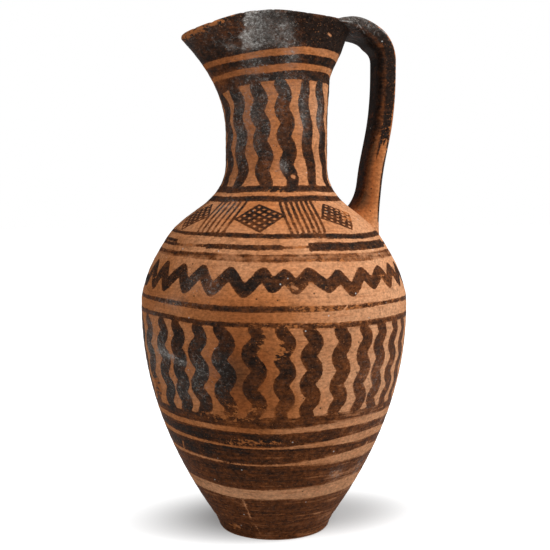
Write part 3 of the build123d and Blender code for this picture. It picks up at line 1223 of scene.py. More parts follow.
@dataclass(frozen=True)
class SlipOnClay:
    """Fired clay painted with brown-black slip, worn and filmed over.

    The mesh carries the slip's cover in millimetres, the lozenges' cover and hatching coordinates, the
    tone, wear and film, and the clay's stain; on the handle the tone and the stain also hold painted
    shade, darker towards the strap's inner edge. Noise unsettles the slip's edge before a smooth step
    makes it paint or clay. Ranges are as in ClayTones, those of height in metres.
    """

    name: str
    cracked: float = 0.0
    tones: ClayTones = ClayTones()
    thick: Colour = (0.0170, 0.0098, 0.0070, 1.0)
    thin: Colour = (0.185, 0.054, 0.0135, 1.0)
    film: Colour = (0.33, 0.305, 0.28, 1.0)
    crust: Colour = (0.62, 0.60, 0.57, 1.0)
    pit: Colour = (0.02, 0.014, 0.01, 1.0)
    hatch_cells: float = 2.5
    hatch_line: float = 2.1
    hatch_pitch: float = 3.4
    hatch_border: float = 0.6
    slow_edge: Cloud = Cloud((150.0, 150.0, 190.0), 3.0, 0.5)
    quick_edge: Cloud = Cloud((800.0, 800.0, 800.0), 4.0, 0.65)
    quick_strength: float = 1.3
    edge_range: Range = (-0.18, 0.18)
    flakes: Cloud = Cloud((300.0, 300.0, 560.0), 9.0, 0.72)
    flake_level: float = 0.75
    flake_softness: float = 0.05
    flake_wear: float = 0.29
    flake_edge: Range = (0.0, 1.6, 0.05, 0.0)
    crumbs: Cloud = Cloud((900.0, 900.0, 1100.0), 3.0, 0.7)
    crumb_range: Range = (0.62, 0.68)
    crumb_wear: Range = (0.1, 0.6, 0.4, 1.0)
    lines: Cloud = Cloud((26.0, 26.0, 760.0), 6.0, 0.72)
    line_strength: float = 1.8
    streaks: Cloud = Cloud((14.0, 14.0, 250.0), 5.0, 0.65)
    streak_strength: float = 1.1
    wheel_heights: Range = (0.080, 0.092, 1.0, 0.4)
    clouds: Cloud = Cloud((110.0, 110.0, 130.0), 8.0, 0.74)
    cloud_heights: Range = (0.030, 0.060, 0.9, 1.9)
    thin_edge: Range = (0.0, 1.2, 0.22, 0.0)
    mottles: Cloud = Cloud((430.0, 430.0, 560.0), 5.0, 0.66)
    mottle_strength: float = 3.8
    veil_range: Range = (0.0, 0.40, 0.45, 1.0)
    dusts: Cloud = Cloud((110.0, 110.0, 160.0), 8.0, 0.75)
    dust_range: Range = (0.36, 0.62, 0.25, 1.0)
    crystals: Cloud = Cloud((520.0, 520.0, 760.0), 9.0, 0.80)
    crystal_range: Range = (0.36, 0.58, 0.35, 1.0)
    crust_film: float = 0.15
    crust_range: Range = (0.66, 0.73, 0.0, 0.85)
    hairs: Cloud = Cloud((190.0, 190.0, 150.0), 6.0, 0.66)
    hair_range: Range = (0.030, 0.006)
    hair_breaks: Range = (0.46, 0.56)
    hair_film: Range = (0.08, 0.50, 0.05, 0.60)
    pale_specks: Range = (230.0, 0.13, 0.10)
    pale_speck_strength: float = 0.75
    pits: Range = (190.0, 0.13, 0.28)
    pit_strength: float = 0.85
    crack_heights: Range = (0.300, 0.312)
    crack_breaks: Range = (0.46, 0.58)
    crack_cells: Range = (55.0, 0.030)
    grains: Cloud = Cloud((1100.0, 1100.0, 1500.0), 4.0, 0.6)
    slip_relief: float = 0.3
    grain_relief: float = 0.7
    line_relief: float = 0.8
    crust_relief: float = 0.8
    relief: float = 0.00045
    clay_and_slip_roughness: Pair = (0.85, 0.64)
    specular: float = 0.03

    def hatching(self, kit: NodeKit) -> Socket:
        """Cover of the hatching: lines at even steps of both slanting coordinates, in the lozenge.

        Args:
            kit: Nodes of the material.

        Returns:
            Millimetres inside the hatching.
        """
        lattice = kit.parts(kit.attribute("lattice", "Vector"))
        lines = []
        for axis in (0, 1):
            place = kit.plus(kit.times(lattice[axis], self.hatch_cells), HATCH_START + self.hatch_cells)
            gap = kit.math("ABSOLUTE", kit.minus(kit.math("FRACT", place), 0.5))
            lines.append(kit.minus(0.5 * self.hatch_line, kit.times(gap, self.hatch_pitch)))
        edge = kit.plus(kit.attribute("lozenge", "Fac"), self.hatch_border)
        return kit.math("MINIMUM", kit.math("MAXIMUM", *lines), edge)

    def paint_depth(self, kit: NodeKit) -> Socket:
        """Cover of all figures with an unsteady edge.

        Args:
            kit: Nodes of the material.

        Returns:
            Millimetres inside the slip.
        """
        cover = kit.math("MAXIMUM", kit.attribute("slip", "Fac"), self.hatching(kit))
        slow = kit.minus(kit.noise(self.slow_edge), 0.5)
        quick = kit.swing(kit.noise(self.quick_edge), self.quick_strength)
        return kit.plus(cover, kit.plus(slow, quick))

    def losses(self, kit: NodeKit, depth: Socket, wear: Socket) -> Socket:
        """Where the slip has gone: flakes of a noise above a level that falls with wear, and crumbs.

        Args:
            kit: Nodes of the material.
            depth: Cover of the slip in millimetres.
            wear: Wear from 0 to 1.

        Returns:
            One where the slip is lost, zero where it is whole.
        """
        worn = kit.minus(self.flake_level, kit.times(wear, self.flake_wear))
        level = kit.minus(worn, kit.remap(depth, *self.flake_edge))
        flaked = kit.remap(kit.noise(self.flakes), level, kit.plus(level, self.flake_softness))
        crumbled = kit.remap(kit.noise(self.crumbs), *self.crumb_range)
        return kit.math("MAXIMUM", flaked, kit.times(crumbled, kit.remap(wear, *self.crumb_wear)))

    def thickness(self, kit: NodeKit, tone: Socket, depth: Socket, line: Socket, rise: Socket) -> Socket:
        """Thickness of the slip: its tone, brushed round by the wheel, clouded, and thinner at its edge.

        Args:
            kit: Nodes of the material.
            tone: Tone that the mesh carries.
            depth: Cover of the slip in millimetres.
            line: Noise of the fine lines round the pot.
            rise: Height in metres.

        Returns:
            Thickness from 0 to 1.
        """
        brushed = kit.swing(kit.noise(self.streaks), self.streak_strength)
        wheel = kit.plus(kit.swing(line, self.line_strength), brushed)
        body = kit.plus(tone, kit.times(wheel, kit.remap(rise, *self.wheel_heights)))
        body = kit.plus(body, kit.swing(kit.noise(self.clouds), kit.remap(rise, *self.cloud_heights)))
        return kit.minus(body, kit.remap(depth, *self.thin_edge), clamp=True)

    def material(self) -> Material:
        """Builds the nodes: clay, slip over it, then film, crust, hair scratches, specks and cracks.

        Returns:
            The finished material.
        """
        kit = NodeKit(self.name)
        # On the handle the tone also holds painted shade, a darker wash towards the strap's inner edge.
        tone, wear, film = kit.parts(kit.attribute("condition", "Vector"))
        rise = kit.parts(kit.place((1.0, 1.0, 1.0)))[2]
        line = kit.noise(self.lines)
        depth = self.paint_depth(kit)
        painted = kit.remap(depth, *self.edge_range)
        lost = self.losses(kit, depth, wear)
        kept = kit.times(painted, kit.minus(1.0, lost))

        # The stain holds real stains, and on the handle also painted shade on the inner face.
        clay = self.tones.colour(kit, kit.attribute("stain", "Fac"))
        bare = kit.blend(kit.times(painted, lost), clay, self.tones.fresh)
        body = self.thickness(kit, tone, depth, line, rise)
        mottled = kit.around_one((kit.noise(self.mottles), self.mottle_strength))
        slip = kit.blend(1.0, kit.blend(body, self.thin, self.thick), mottled, "MULTIPLY")
        colour = kit.blend(kit.times(kept, kit.remap(body, *self.veil_range)), bare, slip)

        dust = kit.noise(self.dusts)
        crystal = kit.noise(self.crystals)
        dense = kit.times(film, film, kit.remap(dust, *self.dust_range))
        colour = kit.blend(kit.times(dense, kit.remap(crystal, *self.crystal_range)), colour, self.film)
        crusted = kit.remap(kit.plus(crystal, kit.times(film, self.crust_film)), *self.crust_range)
        colour = kit.blend(crusted, colour, self.crust)
        ridge = kit.math("ABSOLUTE", kit.minus(kit.noise(self.hairs), 0.5))
        hair = kit.times(kit.remap(ridge, *self.hair_range), kit.remap(crystal, *self.hair_breaks))
        colour = kit.blend(kit.times(hair, kit.remap(film, *self.hair_film), kept), colour, self.film)
        pale = kit.times(kit.specks(*self.pale_specks), self.pale_speck_strength)
        colour = kit.blend(pale, colour, self.crust)
        colour = kit.blend(kit.times(kit.specks(*self.pits), self.pit_strength), colour, self.pit)
        if self.cracked > 0.0:
            near_rim = kit.remap(rise, *self.crack_heights, 0.0, self.cracked)
            broken = kit.times(near_rim, kit.remap(dust, *self.crack_breaks))
            colour = kit.blend(kit.times(kit.cracks(*self.crack_cells), broken), colour, self.crust)

        height = kit.plus(
            kit.times(kept, self.slip_relief),
            kit.times(kit.noise(self.grains), self.grain_relief),
            kit.times(line, self.line_relief),
            kit.times(crusted, self.crust_relief),
        )
        roughness = kit.remap(kept, 0.0, 1.0, *self.clay_and_slip_roughness)
        kit.surface(colour, roughness, height, self.relief, self.specular)
        return kit.material


@dataclass(frozen=True)
class BareClay:
    """Unpainted clay inside the pot, finger-smoothed and dusty."""

    name: str
    tones: ClayTones = ClayTones()
    warmth: float = 0.4
    ridges: Cloud = Cloud((30.0, 30.0, 520.0), 4.0, 0.6)
    grains: Cloud = Cloud((900.0, 900.0, 900.0), 5.0, 0.65)
    grain_relief: float = 0.5
    relief: float = 0.0004
    roughness: Range = (0.2, 0.8, 0.72, 0.86)
    specular: float = 0.25

    def material(self) -> Material:
        """The material with its nodes built."""
        kit = NodeKit(self.name)
        grain = kit.noise(self.grains)
        height = kit.plus(kit.noise(self.ridges), kit.times(grain, self.grain_relief))
        colour = self.tones.colour(kit, self.warmth)
        kit.surface(colour, kit.remap(grain, *self.roughness), height, self.relief, self.specular)
        return kit.material


@dataclass
class Grid:
    """A closed surface on a grid of rows and columns, with the values that its points carry."""

    name: str
    points: Array
    ends: RowEnds
    numbers: dict[str, Array]
    vectors: dict[str, Array]

    def faces(self) -> tuple[Array, Array]:
        """Corner numbers of the grid's quads and, where its rows end in points, of its end triangles.

        Returns:
            Quads and triangles, each one row of vertex numbers.
        """
        rows, columns = self.points.shape[:2]
        number = np.arange(rows * columns).reshape(rows, columns)
        beside = np.roll(number, -1, axis=1)
        if self.ends is RowEnds.RING:
            above = np.roll(number, -1, axis=0)
            above_beside = np.roll(beside, -1, axis=0)
            quads = np.stack([number, beside, above_beside, above], axis=-1).reshape(-1, 4)
            return quads, np.zeros((0, 3), int)
        corners = [number[1:-2], beside[1:-2], beside[2:-1], number[2:-1]]
        quads = np.stack(corners, axis=-1).reshape(-1, 4)
        start = np.stack([np.full(columns, number[0, 0]), beside[1], number[1]], axis=-1)
        end = np.stack([np.full(columns, number[-1, 0]), number[-2], beside[-2]], axis=-1)
        return quads, np.vstack([start, end])

    def build(self) -> Piece:
        """Puts the grid into a mesh object with its values as point attributes.

        The rows at a pole keep only their first point. The signed volume tells which way the faces
        point, and they are turned round where it is negative.

        Returns:
            The object, linked to the scene.
        """
        rows, columns = self.points.shape[:2]
        quads, triangles = self.faces()
        used = np.zeros(rows * columns, bool)
        used[quads.ravel()] = True
        used[triangles.ravel()] = True
        renumber = np.cumsum(used) - 1
        places = self.points.reshape(-1, 3)[used] * MM
        quads = renumber[quads]
        triangles = renumber[triangles]
        halves = np.vstack([quads[:, [0, 1, 2]], quads[:, [0, 2, 3]], triangles])
        a, b, c = (places[halves[:, corner]] for corner in range(3))
        if np.einsum("ij,ij->i", a, np.cross(b, c)).sum() < 0.0:
            quads = quads[:, ::-1]
            triangles = triangles[:, ::-1]
        mesh = bpy.data.meshes.new(self.name)
        mesh.from_pydata(places.tolist(), [], quads.tolist() + triangles.tolist())
        mesh.polygons.foreach_set("use_smooth", np.ones(len(mesh.polygons), bool))
        mesh.set_sharp_from_angle(angle=CREASE_ANGLE)
        for name, values in self.numbers.items():
            layer = mesh.attributes.new(name, "FLOAT", "POINT")
            layer.data.foreach_set("value", values.reshape(-1)[used].astype(np.float32))
        for name, values in self.vectors.items():
            layer = mesh.attributes.new(name, "FLOAT_VECTOR", "POINT")
            layer.data.foreach_set("vector", values.reshape(-1, 3)[used].astype(np.float32).ravel())
        mesh.update()
        piece = bpy.data.objects.new(self.name, mesh)
        bpy.context.scene.collection.objects.link(piece)
        return piece


def settle(piece: Piece, material: Material, slot: Slot, *nodes: str) -> None:
    """Gives a piece its finish, its body and the solids that it stands for.

    Args:
        piece: The finished piece.
        material: Its material.
        slot: The slot that it belongs to; not used.
        nodes: Names of the solids that it replaces.
    """
    piece.data.materials.append(material)
    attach(piece, BODY)
    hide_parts(*nodes)
    log.info("%s: %d faces, stands for %s", piece.name, len(piece.data.polygons), ", ".join(nodes))


@dataclass
class Wall:
    """A closed wall on a grid of rows and columns.

    It holds the name of the solid that it stands for, the angle, radius and height of its points, which
    rows are on the outer, painted side, how the rows close, and how near the points are to the lip.
    """

    node: str
    place: tuple[Array, Array, Array]
    outside: Array
    ends: RowEnds
    lip: Array | float = 0.0


@dataclass
class TurnedPiece(ABC):
    """A piece of the pot made by carrying a closed wall profile round the axis."""

    form: JugForm
    pattern: PaintedPattern
    weathering: Weathering

    def angles(self) -> Array:
        """Angles of the columns in degrees."""
        return np.linspace(-180.0, 180.0, COLUMNS, endpoint=False)

    def carried(self, profile: Array) -> tuple[Array, Array, Array]:
        """Angle, radius and height of a profile repeated at every angle."""
        angle, radius = np.meshgrid(self.angles(), profile[:, 0])
        height = np.repeat(profile[:, 1:], COLUMNS, axis=1)
        return angle, radius, height

    @abstractmethod
    def wall(self) -> Wall:
        """The closed wall of the piece."""

    def build(self, finish: Material) -> Piece:
        """Piece of the wall with its throwing marks, x = r·cos(angle), y = r·sin(angle), z = height.

        Args:
            finish: Painted clay.

        Returns:
            The piece, with the painted pattern's values on its points.
        """
        wall = self.wall()
        angle, radius, height = wall.place
        shown = np.repeat(wall.outside[:, None], COLUMNS, axis=1)
        step = np.hypot(np.diff(radius, axis=0), np.diff(height, axis=0))
        climbed = np.vstack([np.zeros(COLUMNS), np.cumsum(step, axis=0)])
        line = self.form.body_line()
        length = distance_along(line)
        on_body = np.interp(height, line[:, 1], length)
        run = np.where(height <= self.form.neck_seam_z, on_body, length[-1] + climbed)
        walls = WallPoints(angle, height, np.maximum(radius, 1.0), run, shown)
        marked = radius + np.where(shown, self.form.marks.offset(angle, height), 0.0)
        phi = np.radians(angle)
        shift_x, shift_y = self.form.lean_shift(height)
        x = marked * np.cos(phi) + shift_x
        y = marked * np.sin(phi) + shift_y
        points = np.stack([x, y, height], axis=-1)
        lozenge, lattice = self.pattern.lozenge_fields(walls, self.form)
        condition, stain = self.weathering.condition(walls, wall.lip)
        numbers = {"slip": self.pattern.cover(walls), "lozenge": lozenge, "stain": stain}
        vectors = {"lattice": lattice, "condition": condition}
        piece = Grid(wall.node + "_dressed", points, wall.ends, numbers, vectors).build()
        settle(piece, finish, Slot.PAINTED, wall.node)
        return piece


@dataclass
class FootRing(TurnedPiece):
    """The low ring foot, slightly splayed, with soft lower edges."""

    corner_rows: int = 7
    face_step: float = 1.0
    wall_step: float = 0.7
    top_step: float = 2.0

    def wall(self) -> Wall:
        """Section down the bore, round the resting face, up the outer wall and back across the top.

        Returns:
            The wall of the foot.
        """
        form = self.form
        soft = form.foot_edge_round
        bore_top = (form.foot_inner_radius, form.foot_height)
        wall_top = (form.foot_top_radius, form.foot_height)
        quarter = np.linspace(0.0, 0.5 * np.pi, self.corner_rows)
        sine, cosine = np.sin(quarter), np.cos(quarter)
        inner = np.stack([form.foot_inner_radius + soft * (1 - cosine), soft * (1 - sine)], axis=1)
        outer_middle = form.foot_base_radius - soft
        outer = np.stack([outer_middle + soft * sine, soft * (1 - cosine)], axis=1)
        section = np.vstack([
            straight(bore_top, (form.foot_inner_radius, soft), self.face_step)[:-1],
            inner,
            straight(tuple(inner[-1]), tuple(outer[0]), self.face_step)[1:-1],
            outer,
            straight(tuple(outer[-1]), wall_top, self.wall_step)[1:],
            straight(wall_top, bore_top, self.top_step)[1:-1],
        ])
        outside = section[:, 0] > outer_middle + 0.5 * soft
        return Wall("foot_ring", self.carried(section), outside, RowEnds.RING)


@dataclass
class LowerBody(TurnedPiece):
    """The thrown bowl of the body, from the foot to the belly seam."""

    inner_step: float = 5.0
    floor_step: float = 4.0

    def wall(self) -> Wall:
        """Profile along the underside, up the outer wall, down the inner one and along the floor.

        Returns:
            The wall of the bowl.
        """
        form = self.form
        outer_seam, inner_seam = form.belly_seam()
        floor_z = form.foot_height + form.floor_thickness
        outer = evenly(between_heights(form.body_line(), form.foot_height, outer_seam), ROW_STEP)
        inner_line = between_heights(form.body_line(form.wall), floor_z, inner_seam)
        inner = evenly(inner_line, self.inner_step)[::-1]
        foot_top = (form.foot_top_radius, form.foot_height)
        under = straight((0.0, form.foot_height), foot_top, self.floor_step)[:-1]
        floor = straight(tuple(inner[-1]), (0.0, floor_z), self.floor_step)[1:]
        profile = np.vstack([under, outer, inner, floor])
        outside = np.zeros(len(profile), bool)
        outside[len(under) : len(under) + len(outer)] = True
        return Wall("lower_body", self.carried(profile), outside, RowEnds.POLES)


@dataclass
class UpperBody(TurnedPiece):
    """The shoulder of the body, from the belly seam to the neck seam."""

    inner_step: float = 4.0

    def wall(self) -> Wall:
        """Section up the outer wall and down the inner one.

        Returns:
            The wall of the shoulder.
        """
        form = self.form
        outer_seam, inner_seam = form.belly_seam()
        outer_line = between_heights(form.body_line(), outer_seam, form.neck_seam_z)
        inner_line = between_heights(form.body_line(form.wall), inner_seam, form.neck_seam_z)
        outer = evenly(outer_line, FINE_ROW_STEP)
        profile = np.vstack([outer, evenly(inner_line, self.inner_step)[::-1]])
        outside = np.arange(len(profile)) < len(outer)
        return Wall("upper_body", self.carried(profile), outside, RowEnds.RING)


@dataclass
class NeckAndMouth(TurnedPiece):
    """The neck, flaring into a trefoil mouth with a rounded lip."""

    outer_rows: int = 150
    lip_rows: int = 11
    inner_rows: int = 52
    spout_keep: float = 0.61
    lip_nearness: float = 3.8
    square_start: float = 0.5
    square_rise: float = 0.4
    chip_depth: float = 0.3
    chip_least: float = 0.3
    chip_level: float = 0.9
    chip_waves: tuple[Pair, ...] = ((23.0, 0.0), (37.0, 40.0), (61.0, 0.0))
    chip_middle: Pair = (-170.0, 45.0)

    def wall(self) -> Wall:
        """Wall with its lip at the rim's changing height.

        Each column climbs the outer wall to half a lip's thickness below the rim, goes round a half
        circle set square to the wall, and comes down the inner wall a wall's thickness in.

        Returns:
            The wall, with the nearness of its points to the lip.
        """
        form = self.form
        columns = self.angles()
        rim = form.rim_height(columns) - self.lip_chips(columns)
        _radius, slope = form.neck_line(columns, rim)
        half = 0.5 * form.lip_thickness
        spout = bell(turn_between(columns, 180.0), 0.0, form.spout_spread)
        shoulder = rim - half * (1.0 + slope / np.hypot(1.0, slope)) * (1.0 - self.spout_keep * spout)
        climb = (shoulder - form.neck_seam_z)[None, :]
        outer_z = form.neck_seam_z + climb * np.linspace(0.0, 1.0, self.outer_rows)[:, None]
        outer_r, _slope = form.neck_line(np.broadcast_to(columns, outer_z.shape), outer_z)

        inner_z = form.neck_seam_z + climb * np.linspace(1.0, 0.0, self.inner_rows)[:, None]
        base_r, base_slope = form.neck_line(np.broadcast_to(columns, inner_z.shape), inner_z)
        inset = form.neck_wall(inner_z)
        tilt = np.hypot(1.0, base_slope)
        climbed = (inner_z - form.neck_seam_z) / form.neck_height
        square = rising(climbed, self.square_start, self.square_rise)
        inner_r = base_r - inset * (tilt + (1.0 / tilt - tilt) * square)
        inner_z = inner_z + inset * base_slope / tilt * square

        start = np.stack([outer_r[-1], outer_z[-1]])
        end = np.stack([inner_r[0], inner_z[0]])
        middle = 0.5 * (start + end)
        arm = 0.5 * (start - end)
        up = np.stack([-arm[1], arm[0]])
        sweep = np.linspace(0.0, np.pi, self.lip_rows + 2)[1:-1][:, None, None]
        lip_line = middle + np.cos(sweep) * arm + np.sin(sweep) * up
        radius = np.vstack([outer_r, lip_line[:, 0], inner_r])
        height = np.vstack([outer_z, lip_line[:, 1], inner_z])
        angle = np.repeat(columns[None, :], len(height), axis=0)
        outside = np.arange(len(height)) < self.outer_rows + self.lip_rows
        lip = bell(height, rim[None, :], self.lip_nearness)
        return Wall("neck_and_mouth", (angle, radius, height), outside, RowEnds.RING, lip)

    def lip_chips(self, angle: Array) -> Array:
        """Small losses along the lip: a sum of sines cut off below a level, deepest at the spout.

        Args:
            angle: Angles in degrees.

        Returns:
            Depths in millimetres.
        """
        wave = sum(np.sin(np.radians(angle * times + phase)) for times, phase in self.chip_waves)
        spout = bell(turn_between(angle, self.chip_middle[0]), 0.0, self.chip_middle[1])
        depth = self.chip_depth * (self.chip_least + (1.0 - self.chip_least) * spout)
        return depth * np.clip(wave - self.chip_level, 0.0, None)


@dataclass(frozen=True)
class StrapWear:
    """Slip and age of the handle, and painted shade on its inner face.

    The strap's own directions are outer, from -1 on the inner face to 1 on the outer one, and side,
    from 0 in the middle to 1 at the edges. A place is the middle and the spread of a bell curve, and
    other pairs of heights or shares are a start and the length that it takes to be full.
    """

    bare_below: float = 236.0
    high: Range = (232.0, 40.0)
    edge_reach: float = 0.38
    edge_steepness: float = 6.0
    edge_ripple: Range = (5.0, 1.3, 3.0, 2.3, 1.0)
    edge_full: Range = (3.0, 1.3)
    face_reach: float = 0.55
    face_narrowing: float = 0.15
    face_narrows: Range = (222.0, 20.0)
    face_steepness: float = 7.0
    # Painted shade: a wash of slip over the inner face, darkest at its inner edge; near the top it is
    # partly real slip.
    slip_and_shade_wash_reach: float = -0.85
    slip_and_shade_wash_climb: float = 1.4
    slip_and_shade_wash_steepness: float = 8.0
    shade_gradient_start: float = 0.3
    shade_gradient_curve: float = 2.2
    shade_gradient_foot: Range = (188.0, 22.0)
    slip_and_shade_tones: Range = (0.9, 0.5)
    slip_foot: float = 192.0
    slip_foot_ripple: Range = (1.8, 4.3, 0.6, 0.9, 0.6)
    slip_foot_steepness: float = 0.8
    full_tone: float = 1.15
    corner_side: Range = (0.5, 0.25)
    corner_outer: Range = (0.55, 0.2)
    corner_high: Range = (232.0, 20.0)
    corner_out: Range = (54.0, 12.0)
    corner_least: Pair = (0.3, 0.2)
    base_wear: float = 0.36
    corner_wear: float = 0.70
    lower_wear: float = 0.3
    lower_wear_place: Range = (245.0, 14.0)
    inner_wear: float = 0.1
    inner_below: float = -0.35
    lap_loss: Triple = (45.0, -19.0, 305.0)
    lap_loss_spread: Triple = (5.0, 5.0, 3.0)
    base_film: float = 0.08
    top_film: float = 0.46
    top_film_place: Range = (314.0, 8.0)
    # Painted shade: stain added to the clay of the inner face, deepest at its inner edge.
    base_stain: float = 0.4
    inner_painted_shade: float = 1.75
    inner_painted_shade_from: float = 0.77
    inner_painted_shade_foot: Range = (183.0, 25.0)
    most: Triple = (1.3, 1.2, 1.0)

    @staticmethod
    def rippled(ripple: Range, offset: Array) -> Array:
        """Two sines of an offset: depth and pitch of the first, depth, rate and phase of the other."""
        first, pitch, second, rate, phase = ripple
        return first * np.sin(offset / pitch) + second * np.sin(offset * rate + phase)

    def cover(self, height: Array, outer: Array, across: Array, out: Array) -> tuple[Array, Array]:
        """Slip on the outer face, higher up on the edges too, and a wash over the inner face that is
        painted shade, partly real slip near the top.

        Args:
            height: Heights of the points.
            outer: Shares outwards.
            across: Offsets of the section across the strap.
            out: Offsets of the section outwards.

        Returns:
            Cover in millimetres, and how fully the slip is laid, from 0, a wash, to 1.
        """
        ragged = self.rippled(self.edge_ripple, out)
        sides = (outer + self.edge_reach) * self.edge_steepness
        edges = np.minimum(height - self.bare_below - ragged, sides)
        narrowed = self.face_reach + self.face_narrowing * rising(height, *self.face_narrows)
        face = (outer - narrowed) * self.face_steepness
        # Painted shade: a wash of slip over the inner face, reaching further out towards the top, where
        # it is partly real slip.
        slip_and_shade_wash = self.slip_and_shade_wash_reach + self.slip_and_shade_wash_climb * rising(height, *self.high) - outer
        slip = np.maximum(np.maximum(edges, face), slip_and_shade_wash * self.slip_and_shade_wash_steepness)
        frayed = self.rippled(self.slip_foot_ripple, across)
        slip = np.minimum(slip, (height - self.slip_foot - frayed) * self.slip_foot_steepness)
        laid = np.clip(np.minimum(edges, self.edge_full[0]) / self.edge_full[1], 0.0, 1.0)
        return slip, np.maximum(laid, (face > 0.0) * 1.0)

    def values(
        self, points: Array, across: Array, out: Array, width: float, thickness: float
    ) -> PointValues:
        """What the finish reads from the handle's points.

        Args:
            points: Points of the grid.
            across: Offsets of the section across the strap.
            out: Offsets of the section outwards.
            width: Width of the strap.
            thickness: Thickness of the strap.

        Returns:
            The numbers and the vectors that the points carry.
        """
        height = points[..., 2]
        outer = np.clip(out / (0.5 * thickness), -1.0, 1.0)[None, :]
        side = np.abs(across / (0.5 * width))[None, :]
        slip, laid = self.cover(height, outer, across[None, :], out[None, :])
        # Painted shade: the wash darkens towards the strap's inner edge from a little above the root
        # upwards, with an even tone near the top that is partly real slip.
        reach = 1.0 + self.shade_gradient_start
        inwards = np.clip(self.shade_gradient_start - outer, 0.0, reach) / reach
        painted_shade_tone = self.slip_and_shade_tones[0] * inwards**self.shade_gradient_curve * rising(height, *self.shade_gradient_foot)
        slip_and_shade_tone = np.clip(painted_shade_tone + self.slip_and_shade_tones[1] * rising(height, *self.high), 0.0, 1.0)
        tone = slip_and_shade_tone + (self.full_tone - slip_and_shade_tone) * laid

        corner = rising(side, *self.corner_side) * rising(outer, *self.corner_outer)
        low, inside = self.corner_least
        corner = corner * (low + (1.0 - low) * rising(height, *self.corner_high))
        corner = corner * (inside + (1.0 - inside) * rising(points[..., 0], *self.corner_out))
        wear = self.base_wear + self.corner_wear * corner
        wear = wear + self.lower_wear * bell(height, *self.lower_wear_place)
        wear = np.where(outer < self.inner_below, self.inner_wear, wear)
        loss = (points - np.array(self.lap_loss)) / np.array(self.lap_loss_spread)
        wear = wear + np.exp(-np.square(loss).sum(axis=-1))

        film = self.base_film + self.top_film * bell(height, *self.top_film_place)
        condition = np.clip(np.stack([tone, wear, film], axis=-1), 0.0, self.most)
        # Painted shade: the clay's stain deepens towards the inner face, from a little above the root
        # upwards.
        inner = self.inner_painted_shade * np.clip(self.inner_painted_shade_from - outer, 0.0, None)
        stain = np.minimum(self.base_stain + inner * rising(height, *self.inner_painted_shade_foot), MOST_STAIN)
        numbers = {"slip": slip, "lozenge": np.full(height.shape, -FAR), "stain": stain}
        return numbers, {"lattice": np.zeros(points.shape), "condition": condition}


